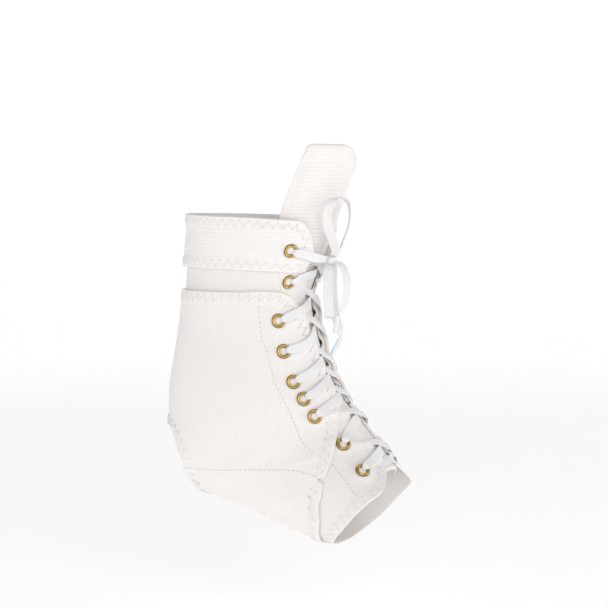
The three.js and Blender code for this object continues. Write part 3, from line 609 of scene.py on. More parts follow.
def flat_tables():
    """Flat coordinates of cloth at a table of sections and angles. Round: the distance round the form
    from its front, and the distance along it. Level, for cloth with a back seam: the level distance
    round from that seam, past the seam's own place, and the depth. Girth, for cloth under the foot:
    the place along the foot, and the distance up from the middle of the sole."""
    u = np.linspace(0, LAST, CELLS_IN_SECTION * LAST + 1)
    v = np.linspace(-180, 180, 360 // CELL_DEGREES + 1)
    front = 180 // CELL_DEGREES
    at = skin(u[:, None], v[None])

    def run(steps, axis):
        """Distance from the start along an axis of the table"""
        total = np.cumsum(np.linalg.norm(steps, axis=-1), axis=axis)
        return np.concatenate([np.zeros_like(np.take(total, [0], axis)), total], axis=axis)

    step = np.diff(at, axis=1)
    around, level, girth = run(step, 1), run(step[..., :2], 1), run(step[..., 1:], 1)
    down = run(np.diff(at, axis=0), 0)
    seam = at[:, :1, 0]
    right = v > 0
    return u, v, {
        "round": (around - around[:, front:front + 1], down),
        "level": (np.where(right, level - level[:, -1:] - seam, level + seam), -at[..., 2]),
        "girth": (-at[..., 0], np.where(right, girth - girth[:, -1:], girth)),
    }


FLAT = flat_tables()


def flat_place(u, v, lay="round"):
    """Flat coordinates of the cloth in metres, from the table for the way in which it lies"""
    us, vs, tables = FLAT
    past = np.asarray(v) > 180
    i = np.clip(np.asarray(u) * CELLS_IN_SECTION, 0, len(us) - 1.001)
    j = np.clip((np.where(past, v - 360, v) + 180) / CELL_DEGREES, 0, len(vs) - 1.001)
    i0, j0 = np.floor(i).astype(int), np.floor(j).astype(int)
    a, b = i - i0, j - j0

    def blend(table):
        """A table read between its four nearest places"""
        return ((1 - a) * (1 - b) * table[i0, j0] + a * (1 - b) * table[i0 + 1, j0]
                + (1 - a) * b * table[i0, j0 + 1] + a * b * table[i0 + 1, j0 + 1])

    around, down = tables[lay]
    whole = 2 * np.interp(np.asarray(u, float), us, around[:, -1]) if lay == "round" else 0.0
    return np.stack([blend(around) + np.where(past, whole, 0.0), blend(down)], -1) * MM


# Meshes

def to_piece(name, points, quads, look, uv=None, replaces=()):
    """A mesh object from points in millimetres and an array of four-sided faces, smooth, at the
    origin, with the finish of a name. A vertex has one place in the UV map."""
    quads = np.asarray(quads, np.int32)
    mesh = bpy.data.meshes.new(name)
    mesh.vertices.add(len(points))
    mesh.vertices.foreach_set("co", (np.asarray(points) * MM).astype(np.float32).ravel())
    mesh.loops.add(quads.size)
    mesh.loops.foreach_set("vertex_index", quads.ravel())
    mesh.polygons.add(len(quads))
    mesh.polygons.foreach_set("loop_start", np.arange(0, quads.size, 4, dtype=np.int32))
    mesh.polygons.foreach_set("use_smooth", np.ones(len(quads), bool))
    if uv is not None:
        layer = mesh.uv_layers.new(name="flat")
        layer.data.foreach_set("uv", np.asarray(uv, np.float32)[quads.ravel()].ravel())
    mesh.update(calc_edges=True)
    mesh.validate()
    mesh.materials.append(finish(look))
    piece = bpy.data.objects.new(name, mesh)
    bpy.context.scene.collection.objects.link(piece)
    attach(piece, "root")
    if replaces:
        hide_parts(*replaces)
    return piece


def strip_quads(rows, columns, closed=False):
    """Faces of a grid of points, counted along its rows, and round them where each row is closed"""
    j = np.arange(rows - 1)[:, None]
    i = np.arange(columns if closed else columns - 1)[None]
    a = j * columns + i
    b = j * columns + (i + 1) % columns
    return np.stack([a, b, b + columns, a + columns], -1).reshape(-1, 4)


def repeated(one, count, step):
    """The faces of one small shape for each of a count of them, whose points follow at even steps"""
    return (np.arange(count)[:, None, None] * step + one[None]).reshape(-1, 4)


def turned_out(quads, points, probe, out):
    """Faces, each turned over where the cross product of two sides of the face at a number points
    against a direction that leads out of the piece"""
    a, b, _, d = points[quads[probe]]
    return quads[:, ::-1] if np.cross(b - a, d - a) @ out < 0 else quads


def edge_distance(points):
    """Distance of each point of a grid to the nearest of its four sides, along its own lines"""
    best = np.full(points.shape[:2], np.inf)
    for axis in (0, 1):
        step = np.linalg.norm(np.diff(points, axis=axis), axis=-1)
        pad = np.zeros_like(np.take(step, [0], axis))
        forward = np.cumsum(np.concatenate([pad, step], axis), axis)
        best = np.minimum(best, np.minimum(forward, np.take(forward, [-1], axis) - forward))
    return best


def off_seams(u, v):
    """0 beside the sole seams and the back seam, where the cloth has no hem, and 1 away from them"""
    line = dense_curve(np.array(SOLE_SEAM) * FLAT_SCALE, 8)
    place = np.stack([np.asarray(u) * SECTION_MM, from_front(v) * DEGREE_MM], -1)
    sole = np.linalg.norm(place[..., None, :] - line, axis=-1).min(-1)
    back = np.where(u < HEEL_EDGE[0][0], (180 - from_front(v)) * DEGREE_MM, sole)
    return smooth((np.minimum(sole, back) - NO_HEM) / HEM_STARTS)


def hem_rise():
    """How far a hem stands above the cloth, in millimetres"""
    return bpy.context.scene.brace_cloth.hem_rise / MM


def hem_top(u, v):
    """Outer face of the outer layer on a hem, which runs out beside the seams"""
    return shell_top(u, v) + hem_rise() * off_seams(u, v)


def wall(name, grid, inner, outer, look, hemmed=False, relief=None, lay="round", sheet=True):
    """A wall of cloth over a grid of section and angle, between two heights. Its edge is round: the
    half thickness falls there as the height of a circle does. The hem's rise is added to the
    outer face up to its width from the edge, and the relief moves both faces. A sheet's name ends
    in _cloth, and any other wall's in _pad."""
    hem = bpy.context.scene.brace_cloth.hem_width / MM
    u, v = grid[..., 0], grid[..., 1]
    low, high = inner(u, v), outer(u, v)
    middle = surface(u, v, (low + high) / 2)
    away = normal(u, v)
    from_edge = edge_distance(middle)
    half = (high - low) / 2
    rounding = np.sqrt(1 - (1 - np.clip(from_edge / half, 0, 1)) ** 2)
    moved = relief(u, v, from_edge) if relief else np.zeros_like(u)
    fold = (1 - smooth((from_edge - hem + 0.4) / 0.8)) * off_seams(u, v) if hemmed else np.zeros_like(u)
    top = middle + away * (half * rounding + fold * hem_rise() * rounding + moved)[..., None]
    under = middle + away * (-half * rounding + moved)[..., None]
    m, n = u.shape
    count = m * n
    inside = np.ones((m, n), bool)
    inside[[0, -1]] = False
    inside[:, [0, -1]] = False
    number = np.arange(count).reshape(m, n)
    number[inside] = count + np.arange(inside.sum())
    faces = strip_quads(m, n)
    probe = len(faces) // 2 + n // 2
    flat = top.reshape(-1, 3)
    faces = turned_out(faces, flat, probe, away.reshape(-1, 3)[faces[probe, 0]])
    quads = np.concatenate([faces, number.ravel()[faces][:, ::-1]])
    uv = flat_place(u, v, lay)
    piece = to_piece(
        f"{name}_cloth" if sheet else f"{name}_pad", np.concatenate([flat, under[inside]]), quads, look,
        np.concatenate([uv.reshape(-1, 2), uv[inside]]), [name])
    return piece


# Stitching

def inset_line(points, distance, spacing=0.8):
    """A line of section and angle moved sideways on the form by a distance: to the right of its way
    as seen from outside where the distance is positive, and to the left where it is negative"""
    line = dense_curve(np.asarray(points, float) * FLAT_SCALE) / FLAT_SCALE
    at = lengths(skin(line[:, 0], line[:, 1]))
    count = max(int(at[-1] / spacing), 8)
    line = read_at(np.linspace(0, at[-1], count), at, line)
    du, dv = slopes(line[:, 0], line[:, 1])
    step = np.gradient(line, axis=0)
    way = unit(du * step[:, :1] + dv * step[:, 1:])
    side = np.cross(way, normal(line[:, 0], line[:, 1])) * distance
    a, b, c = (du * du).sum(-1), (du * dv).sum(-1), (dv * dv).sum(-1)
    p, q = (side * du).sum(-1), (side * dv).sum(-1)
    det = a * c - b * b
    return line + np.column_stack([(c * p - b * q) / det, (a * q - b * p) / det])


def marks_along(line, spacing):
    """Places at even distances along a line of section and angle"""
    at = lengths(skin(line[:, 0], line[:, 1]))
    count = max(int(round(at[-1] / spacing)), 2)
    return read_at(np.linspace(0, at[-1], count + 1), at, line)


def zigzag(edge_points, side=1.0):
    """Starts and ends of the strokes of a zigzag row inside an edge: its turns lie by turns on two
    lines parallel to the edge"""
    thread = bpy.context.scene.brace_thread
    near, far = thread.zigzag_inset / MM, (thread.zigzag_inset + thread.zigzag_width) / MM
    lines = [marks_along(inset_line(edge_points, side * inset), thread.zigzag_pitch / MM / 2)
             for inset in (near, far)]
    share = np.linspace(0, 1, min(map(len, lines)))
    outer, inner = (read_at(share, np.linspace(0, 1, len(line)), line) for line in lines)
    turns = np.where((np.arange(len(share)) % 2 == 0)[:, None], outer, inner)
    return turns[:-1], turns[1:]


def straight(points, side=0.0):
    """Starts and ends of the stitches of a straight row"""
    thread = bpy.context.scene.brace_thread
    marks = marks_along(inset_line(points, side), thread.stitch_pitch / MM)
    return marks[:-1], marks[:-1] + (marks[1:] - marks[:-1]) * STITCH_SHARE


def both_sides(rows):
    """Rows of stitches and their mirror images on the left side"""
    starts = np.concatenate([a for a, _ in rows])
    ends = np.concatenate([b for _, b in rows])
    flip = np.array([1, -1])
    return np.concatenate([starts, starts * flip]), np.concatenate([ends, ends * flip])


def stitches(name, rows, height):
    """One mesh of all the stitches of some rows, on both sides. A stitch is a tube of six sides
    whose line rises over the cloth at its middle and goes into it at both ends. A low dark lens of
    painted shade marks each needle hole."""
    thread = bpy.context.scene.brace_thread.thread
    starts, ends = both_sides(rows)
    place = starts[:, None] + (ends - starts)[:, None] * STITCH_AT[None, :, None]
    u, v = place[..., 0], place[..., 1]
    middle = surface(u, v, height(u, v) + STITCH_LIFT)
    up = normal(u, v)
    ahead = unit(np.gradient(middle, axis=1))
    across = unit(np.cross(ahead, up))
    turn = circle(STITCH_SIDES)
    ring = (across[:, :, None] * np.cos(turn)[:, None]
            + np.cross(across, ahead)[:, :, None] * np.sin(turn)[:, None])
    points = middle[:, :, None] + ring * (thread / MM / 2)
    k, r = points.shape[:2]
    one = strip_quads(r, STITCH_SIDES, closed=True)
    caps = np.array([[0, 1, 2, 3], [0, 3, 4, 5]])
    one = np.concatenate([one, caps, (caps + STITCH_SIDES * (r - 1))[:, ::-1]])
    first = points[0].reshape(-1, 3)
    one = turned_out(one, first, 0, first[one[0, 0]] - middle[0, 0])
    quads = repeated(one, k, r * STITCH_SIDES)
    along = (STITCH_AT * thread * 8)[None, :, None]
    about = (turn / (2 * np.pi) * thread * 3)[None, None]
    uv = np.stack(np.broadcast_arrays(about, along, np.zeros((k, 1, 1)))[:2], -1)
    to_piece(f"{name}_stitching", points.reshape(-1, 3), quads, "sewing_thread", uv.reshape(-1, 2))
    needle_shade_dots(f"{name}_needle_shade_dots", np.concatenate([starts, ends]), height)


def needle_shade_dots(name, places, height):
    """Low round lenses of painted shade that darken the cloth where the needle went through it"""
    places = np.unique(np.round(places, 4), axis=0)
    u, v = places[:, 0], places[:, 1]
    _, dv = slopes(u, v)
    up = normal(u, v)
    side = unit(dv)
    other = np.cross(up, side)
    at = surface(u, v, height(u, v) + 0.01)
    turn = circle(PIT_SIDES)
    out = side[:, None] * np.cos(turn)[:, None] + other[:, None] * np.sin(turn)[:, None]
    points = np.stack([at[:, None] + out * radius + up[:, None] * lift for radius, lift in PIT_RINGS], 1)
    one = strip_quads(len(PIT_RINGS), PIT_SIDES, closed=True)
    one = turned_out(one, points[0].reshape(-1, 3), PIT_SIDES, up[0])
    quads = repeated(one, len(places), len(PIT_RINGS) * PIT_SIDES)
    to_piece(name, points.reshape(-1, 3), quads, "needle_hole")


# Materials

class Looks:
    """A material's nodes. Each call adds one node, links or sets its inputs, and gives it back."""

    def __init__(self, name):
        self.material = bpy.data.materials.new(name)
        self.material.use_nodes = True
        self.tree = self.material.node_tree
        self.shader = next(n for n in self.tree.nodes if n.type == "BSDF_PRINCIPLED")

    def node(self, kind, inputs=(), **settings):
        """A node of a kind, with its settings and inputs"""
        node = self.tree.nodes.new(kind)
        for key, value in settings.items():
            setattr(node, key, value)
        for key, value in dict(inputs).items():
            self.put(node.inputs[key], value)
        return node

    def put(self, socket, value):
        """A socket linked to another one, or set to a plain value"""
        if isinstance(value, bpy.types.NodeSocket):
            self.tree.links.new(value, socket)
        else:
            socket.default_value = value

    def shade(self, **values):
        """The shader's inputs, by name"""
        for key, value in values.items():
            self.put(self.shader.inputs[key.replace("_", " ")], value)

    def calc(self, operation, a, b=0.0, c=0.0):
        """One step of arithmetic on two or three numbers"""
        return self.node("ShaderNodeMath", {0: a, 1: b, 2: c}, operation=operation).outputs[0]

    def flat(self):
        """The two flat coordinates of the cloth, in metres"""
        place = self.node("ShaderNodeUVMap", uv_map="flat").outputs[0]
        split = self.node("ShaderNodeSeparateXYZ", {0: place})
        return split.outputs[0], split.outputs[1]

    def noise(self, scale, detail=3.0):
        """Noise between 0 and 1 in the piece's own space, by its patterns for each metre"""
        return self.node("ShaderNodeTexNoise", {
            "Vector": self.node("ShaderNodeTexCoord").outputs["Object"], "Scale": scale,
            "Detail": detail, "Roughness": 0.55}).outputs["Fac"]

    def wave(self, value, pitch, phase=0.0):
        """Half of 1 plus the sine of a coordinate: from 0 to 1, with one crest for each pitch"""
        turned = self.calc("MULTIPLY_ADD", value, 2 * math.pi / pitch, phase)
        return self.calc("MULTIPLY_ADD", self.calc("SINE", turned), 0.5, 0.5)

    def mix(self, share, a, b):
        """A colour between two others, by a share of the second one"""
        node = self.node("ShaderNodeMix", data_type="RGBA")
        for socket, value in ((node.inputs[0], share), (node.inputs[6], a), (node.inputs[7], b)):
            self.put(socket, value)
        return node.outputs[2]

    def bump(self, height, distance, under=None):
        """A normal bent by a height from 0 to 1 that stands for a distance, over another normal"""
        inputs = {"Height": height, "Distance": distance, "Strength": 1.0}
        if under is not None:
            inputs["Normal"] = under
        return self.node("ShaderNodeBump", inputs).outputs[0]


def tint(colour, factor, warm=0.0):
    """A colour with its brightness changed, and moved towards yellow by a small share"""
    r, g, b = colour
    return (min(r * factor * (1 + warm), 1), min(g * factor, 1), min(b * factor * (1 - warm), 1), 1)


def cloth_finish(name, colour_name, weave, depth, shade, sheen=0.25, brightness=1.0):
    """Cloth: a weave's height from 0 to 1 bumps the surface and paints shade into the colour of its
    hollows, over slow stains and a fine fuzz"""
    colour = tint(tuple(getattr(bpy.context.scene.brace_colours, colour_name)), brightness)[:3]
    look = Looks(name)
    height = weave(look)
    # The weave's hollows get painted shade; the stains and spots mixed in below are the cloth's own uneven
    # tone
    hollow_shade_and_stains = look.mix(height, tint(colour, shade), tint(colour, 1.0))
    for scale, share, factor, warm in (STAINS, SPOTS):
        noise = look.noise(scale)
        hollow_shade_and_stains = look.mix(look.calc("MULTIPLY", noise, share), hollow_shade_and_stains, tint(colour, factor, warm))
    look.shade(Base_Color=hollow_shade_and_stains, Roughness=0.92, Sheen_Weight=sheen, Sheen_Roughness=0.4)
    uneven = look.bump(noise, SPOT_BUMP)
    fine = look.bump(look.noise(FUZZ, 2.0), FUZZ_BUMP, uneven)
    look.shade(Normal=look.bump(height, depth, fine))
    return look.material


def twill(look):
    """Diagonal ridges cut into yarns: crests along one diagonal, times finer crests across it"""
    pitch = bpy.context.scene.brace_cloth.twill_pitch
    around, down = look.flat()
    wander = look.calc("MULTIPLY", look.noise(700, 2.0), 0.0006)
    diagonal = look.calc("SUBTRACT", look.calc("MULTIPLY_ADD", around, TWILL_WAY[0], wander),
                         look.calc("MULTIPLY", down, TWILL_WAY[1]))
    yarn = look.calc("ADD", down, look.calc("MULTIPLY", around, 0.35))
    ridge = look.calc("POWER", look.wave(diagonal, pitch), 0.45)
    return look.calc("MULTIPLY_ADD", look.wave(yarn, pitch * 0.3), 0.22, look.calc("MULTIPLY", ridge, 0.78))


def plain_weave(look):
    """Yarns over and under each other: the product of two waves, plus its complement's"""
    around, down = look.flat()
    wander = look.calc("MULTIPLY", look.noise(600, 2.0), 0.0004)
    across = look.wave(look.calc("ADD", around, wander), 0.0011)
    along = look.wave(look.calc("ADD", down, wander), 0.0011)
    other = look.calc("MULTIPLY", look.calc("SUBTRACT", 1.0, across), look.calc("SUBTRACT", 1.0, along))
    return look.calc("ADD", look.calc("MULTIPLY", across, along), other)


def ribs(look):
    """Level ribs with flat crests, cut finely by the yarns that cross them"""
    pitch = bpy.context.scene.brace_cloth.rib_pitch
    around, down = look.flat()
    wander = look.calc("MULTIPLY", look.noise(260, 2.0), 0.0007)
    crest = look.calc("POWER", look.wave(look.calc("ADD", down, wander), pitch), 0.35)
    yarn = look.wave(around, 0.0009)
    return look.calc("MULTIPLY_ADD", yarn, 0.18, look.calc("MULTIPLY", crest, 0.82))


def knit(look):
    """Fine smooth knit: small columns of slanted loops"""
    around, down = look.flat()
    slant = look.calc("PINGPONG", around, 0.0005)
    return look.calc("MULTIPLY", look.wave(around, 0.001), look.wave(look.calc("ADD", down, slant), 0.0008))


def lace_weave(look):
    """Flat woven lace: cross ribs bent into a shallow chevron over the width"""
    rib = bpy.context.scene.brace_thread.lace_rib
    across, along = look.flat()
    bent = look.calc("MULTIPLY_ADD", look.calc("ABSOLUTE", across), 0.35, along)
    edge_cord = look.wave(across, 0.0011)
    return look.calc("MULTIPLY_ADD", look.wave(bent, rib), 0.7, look.calc("MULTIPLY", edge_cord, 0.3))


def twist(look):
    """Two plies of sewing thread, as slanted crests"""
    about, along = look.flat()
    return look.wave(look.calc("ADD", along, about), 0.0005)


def brass_finish():
    """Antique brass: dark in the groove, the barrel and at the rim, as painted shade together with patina,
    and bright on the crests, as painted highlights together with wear, by the share of the way out from the
    bore that the UV map holds"""
    colour = tuple(bpy.context.scene.brace_colours.brass)
    look = Looks("antique_brass")
    _, profile = look.flat()
    worn = look.noise(900, 4.0)
    # A ramp of painted highlights on the crests and painted shade in the bore, the groove and at the rim
    ramp = look.node("ShaderNodeValToRGB", {0: profile})
    elements = ramp.color_ramp.elements
    while len(elements) < len(BRASS_LIGHT_AND_PATINA_STOPS):
        elements.new(0.5)
    for element, (place, factor) in zip(elements, BRASS_LIGHT_AND_PATINA_STOPS):
        element.position = place
        element.color = tint(colour, factor)
    painted_rings_and_patina = look.mix(look.calc("MULTIPLY", worn, 0.3), ramp.outputs[0], tint(colour, 0.45))
    look.shade(Base_Color=painted_rings_and_patina, Metallic=1.0,
               Roughness=look.calc("MULTIPLY_ADD", worn, 0.25, 0.16))
    look.shade(Normal=look.bump(look.noise(2500, 3.0), 0.00002))
    return look.material


def aglet_finish():
    """Clear tape over the gathered lace: pale, cool, glossy, with the lace's ribs showing through"""
    colour = tuple(bpy.context.scene.brace_colours.aglet)
    look = Looks("clear_tip")
    about, along = look.flat()
    rib = look.wave(look.calc("MULTIPLY_ADD", about, 0.4, along), 0.0013)
    look.shade(Base_Color=look.mix(rib, tint(colour, 0.84), tint(colour, 1.06)), Roughness=0.3,
               Coat_Weight=1.0, Coat_Roughness=0.06)
    look.shade(Normal=look.bump(rib, 0.00008))
    return look.material


def needle_finish():
    """The shade in a needle hole, in two browns by a noise"""
    look = Looks("needle_hole")
    brown = look.mix(look.noise(900), (0.34, 0.29, 0.25, 1), (0.5, 0.45, 0.4, 1))
    look.shade(Base_Color=brown, Roughness=1.0)
    return look.material


# Cloths. Columns: the material's name, its colour, its weave, the depth of its bump, the brightness of
# the painted shade in its hollows, and where they aren't the usual ones its sheen and its brightness
CLOTHS = {
    "canvas": ("canvas_twill", "canvas", twill, 0.00013, 0.975),
    "elastic": ("ribbed_elastic", "elastic", ribs, 0.00017, 0.968),
    "lining": ("smooth_band", "lining", knit, 0.00006, 0.97),
    "padding": ("ribbed_padding", "padding", ribs, 0.00024, 0.95),
    "wrap_canvas": ("plain_canvas", "canvas", plain_weave, 0.0001, 0.94),
    "braid": ("woven_lace", "braid", lace_weave, 0.00016, 0.92, 0.3),
    "sewing_thread": ("sewing_thread", "canvas", twist, 0.00005, 0.9, 0.25, 0.97),
}
OTHER_FINISHES = {"brass": brass_finish, "clear_tip": aglet_finish, "needle_hole": needle_finish}
FINISHES = {}


def finish(name):
    """The finish of that name, made when it is first asked for"""
    if name not in FINISHES:
        FINISHES[name] = cloth_finish(*CLOTHS[name]) if name in CLOTHS else OTHER_FINISHES[name]()
    return FINISHES[name]


# Relief of the cloth

def pucker(u, v, from_edge):
    """Small waves along a stitched hem, one for each turn of its zigzag"""
    around, down = np.moveaxis(flat_place(u, v) / MM, -1, 0)
    pitch = bpy.context.scene.brace_thread.zigzag_pitch / MM
    return 0.07 * np.sin((around + down) * 2 * np.pi / pitch) * np.exp(-((from_edge - 4) / 2.6) ** 2)


def collar_lift(u, v):
    """The collar's lower edge waves gently away from the band"""
    around, _ = np.moveaxis(flat_place(u, v) / MM, -1, 0)
    return 0.45 * smooth((u - 1.9) / 0.5) * smooth((from_front(v) - 58) / 20) * (1 + np.sin(around / 12)) / 2


def facing_step(u, v, from_edge):
    """The facing's back edge stands over the band's front edge where both show"""
    back = smooth((from_front(v) - 38) / 4)
    return 0.4 * back * smooth((u - 2.4) / 0.1) * (1 - smooth((u - 3.0) / 0.1))


def tongue_relief(u, v, from_edge):
    """Ribs of the quilted cover, a dent along its bound edge, and a fold sewn down at its top"""
    _, down = np.moveaxis(flat_place(u, np.zeros_like(u)) / MM, -1, 0)
    from_top = (u - tongue_top(v / through(TONGUE_EDGE, u))) * (TONGUE_RISE - LEG_RISE)
    pitch = bpy.context.scene.brace_cloth.rib_pitch / MM
    inside = smooth(from_edge / 2.5)
    fold = 0.6 * (1 - smooth((from_top - 6.4) / 0.7)) * inside
    soft = 0.5 * np.sin(down / 11 + 0.6) * np.cos(np.radians(from_front(v)) * 1.5) * smooth(from_edge / 12)
    dent = -0.18 * np.exp(-((from_edge - 4.2) / 0.8) ** 2) * (from_top > 6.6)
    return 0.07 * np.sin(2 * np.pi * down / pitch) * inside + fold + dent + soft * 0.4


def ring(top, bottom, front):
    """A patch round the back, from a front edge to its mirror image"""
    return patch(round_back(top), round_back(bottom), front, mirrored(front)[::-1])


def both_grids(grid):
    """A grid of the right side, and its mirror image, by side"""
    return {"right": grid, "left": (grid * (1, -1))[:, ::-1]}.items()


class BRACE_OT_collar(bpy.types.Operator):
    """Ribbed elastic collar from front to front round the leg, with a zigzag hem"""
    bl_idname = "brace.collar"
    bl_label = "Collar"

    def execute(self, context):
        grid = ring(edge(COLLAR_TOP, 13), edge(COLLAR_BOTTOM, 13), edge(COLLAR_FRONT, 5))
        wall("collar", grid, lying, shell_top, "elastic", True,
             lambda u, v, from_edge: collar_lift(u, v) + pucker(u, v, from_edge))
        stitches("collar", [zigzag(COLLAR_TOP, -1.0), zigzag(COLLAR_FRONT), zigzag(COLLAR_BOTTOM)],
                 lambda u, v: shell_top(u, v) + collar_lift(u, v) + hem_rise())
        return {"FINISHED"}


class BRACE_OT_ankle_band(bpy.types.Operator):
    """Smooth band between the collar and the side panels"""
    bl_idname = "brace.ankle_band"
    bl_label = "Ankle band"

    def execute(self, context):
        grid = ring(edge(BAND_TOP, 12), edge(BAND_BOTTOM, 12), edge(BAND_FRONT, 5))
        wall("ankle_band", grid, base, lining_top, "lining")
        return {"FINISHED"}


class BRACE_OT_facings(bpy.types.Operator):
    """Canvas strips under the front edges, which carry the upper eyelets"""
    bl_idname = "brace.facings"
    bl_label = "Facings"

    def execute(self, context):
        front = edge(FACING_FRONT, 15)
        shown = smooth((front[:, 0] - 3.3) / 0.6) * smooth((6.6 - front[:, 0]) / 0.3)
        front[:, 1] -= FACING_SHOWS * shown
        grid = patch(edge(FACING_TOP, 4), edge(FACING_BOTTOM, 4), front, edge(FACING_BACK, 15))
        for side, cells in both_grids(grid):
            wall(f"{side}_facing", cells, folded_under, lining_top, "wrap_canvas",
                 relief=facing_step, lay="level")
        return {"FINISHED"}


class BRACE_OT_side_panels(bpy.types.Operator):
    """Twill side panels from the front edges to the back seam, with zigzag hems"""
    bl_idname = "brace.side_panels"
    bl_label = "Side panels"

    def execute(self, context):
        seam = shifted(SOLE_SEAM, SEAM_LAP / SECTION_MM, SEAM_LAP / DEGREE_MM)
        back = chain(edge(PANEL_BACK, 7), edge([*HEEL_EDGE, seam[0]], 4), edge(seam, 6))
        front = chain(edge(PANEL_FRONT, 7), edge(PANEL_INSTEP, 10))
        grid = patch(edge(PANEL_TOP, 12, 1.3), edge([PANEL_INSTEP[-1], seam[-1]], 12, 1.3), front, back)
        grid[..., 1] = np.minimum(grid[..., 1], 180)
        for side, cells in both_grids(grid):
            wall(f"{side}_side_panel", cells, lying, shell_top, "canvas", True, pucker, "level")
        rows = [zigzag(PANEL_TOP, -1.0), zigzag(PANEL_FRONT + PANEL_INSTEP[1:]), zigzag(HEEL_ROW, -1.0)]
        stitches("panel_hem", rows, hem_top)
        stitches("panel", [straight(PANEL_ROW), straight(SOLE_SEAM, -1.3), straight(BACK_SEAM, -1.3)],
                 shell_top)
        return {"FINISHED"}


class BRACE_OT_sole_wrap(bpy.types.Operator):
    """Twill wrap under the heel and the middle of the foot"""
    bl_idname = "brace.sole_wrap"
    bl_label = "Sole wrap"

    def execute(self, context):
        lap = SEAM_LAP / SECTION_MM
        seam = shifted(SOLE_SEAM, -lap, 0)
        top = chain(edge(seam, 6)[::-1], edge(shifted(SOLE_HEEL, -lap, 0), 4))
        grid = ring(top, edge(SOLE_TOE, 10), edge([seam[-1], SOLE_TOE[0]], 5))
        wall("sole_wrap", grid, lying, shell_top, "canvas", True, pucker, "girth")
        stitches("sole", [zigzag(SOLE_TOE), zigzag(SOLE_HEEL[1:], -1.0)], hem_top)
        return {"FINISHED"}


class BRACE_OT_forefoot_wrap(bpy.types.Operator):
    """Canvas wrap round the forefoot, which carries the two lowest pairs of eyelets"""
    bl_idname = "brace.forefoot_wrap"
    bl_label = "Forefoot wrap"

    def execute(self, context):
        grid = ring(edge(WRAP_TOP, 14), edge(WRAP_TOE, 14), edge(WRAP_FRONT, 5))
        wall("forefoot_wrap", grid, folded_under, lining_top, "wrap_canvas", True, pucker, "girth")
        stitches("toe", [zigzag(WRAP_TOE)], lambda u, v: lining_top(u, v) + hem_rise())
        stitches("forefoot", [straight(WRAP_EDGE_ROW), straight(WRAP_ROW)], lining_top)
        return {"FINISHED"}


class BRACE_OT_tongue(bpy.types.Operator):
    """Padded tongue down the front, ribbed, with round top corners"""
    bl_idname = "brace.tongue"
    bl_label = "Tongue"

    def execute(self, context):
        u = np.linspace(0, TONGUE_END, 23 * FINE * 2 + 1)[:, None]
        share = np.linspace(-1, 1, 10 * FINE + 1)[None]
        section = u + tongue_top(share) * np.maximum(0, 1 - u)
        grid = rimmed(rimmed(np.stack([section, share * through(TONGUE_EDGE, u)], -1), 1), 0)
        tongue = wall("tongue", grid, flare, tongue_height, "padding",
                      relief=tongue_relief, sheet=False)
        return {"FINISHED"}


def eyelet_height(u, v, covered):
    """Outer face of the cloth at an eyelet"""
    return float(shell_top(u, v) if covered else lining_top(u, v))


class BRACE_OT_eyelets(bpy.types.Operator):
    """Antique brass eyelets with a rolled flange and a barrel through the cloth"""
    bl_idname = "brace.eyelets"
    bl_label = "Eyelets"

    def execute(self, context):
        bore, rim = EYELET_BORE / 2, EYELET_OUTER / 2
        flange = [(bore + 0.15, 0.45), (bore + 0.55, FIT_GAP + 0.72), (bore + 0.85, FIT_GAP + 0.62),
                  (bore + 1.15, FIT_GAP + 0.82), (bore + 1.55, FIT_GAP + FLANGE_RISE),
                  (rim - 0.3, FIT_GAP + 0.62), (rim - 0.02, FIT_GAP + 0.2), (rim - 0.12, FIT_GAP),
                  (rim - 0.7, FIT_GAP), (bore + BARREL_WALL, FIT_GAP)]
        for side, name in ((1, "right"), (-1, "left")):
            for k, (u, v, covered, _) in enumerate(EYELETS):
                height = eyelet_height(u, v, covered)
                depth = height - float(base(u, v)) - FIT_GAP
                profile = dense_curve([(bore, -depth), (bore, -0.3), *flange, (bore + BARREL_WALL, -depth),
                                       (bore, -depth)], 4)
                lathe(f"{name}_eyelet_{k + 1}", profile[:-1], u, side * v, height)
        return {"FINISHED"}


def turned(profile, middle, way, aside, steps):
    """Angles, and points of a profile of radius and height turned about a line. The turn starts at
    right angles to the line and to a direction aside."""
    turn = circle(steps)
    side = unit(np.cross(way, aside))
    out = side * np.cos(turn)[:, None] + np.cross(way, side) * np.sin(turn)[:, None]
    return turn, middle + out[None] * profile[:, :1, None] + way * profile[:, 1:, None]


def lathe(name, profile, u, v, height):
    """A closed profile of radius and height turned about the form's normal at a place"""
    middle = surface(u, v, height)
    turn, points = turned(profile, middle, normal(u, v), (0.3, 0.2, 1.0), 48)
    count = len(profile)
    quads = strip_quads(count + 1, len(turn), closed=True) % (count * len(turn))
    bore, rim = EYELET_BORE / 2, EYELET_OUTER / 2
    outward = (profile[:, :1] - bore) / (rim - bore)
    uv = np.stack(np.broadcast_arrays((turn / (2 * np.pi))[None], outward), -1)
    flat = points.reshape(-1, 3)
    quads = turned_out(quads, flat, 0, middle - flat[quads[0, 0]])
    to_piece(f"{name}_brass", flat, quads, "brass", uv.reshape(-1, 2), [name])


# Laces

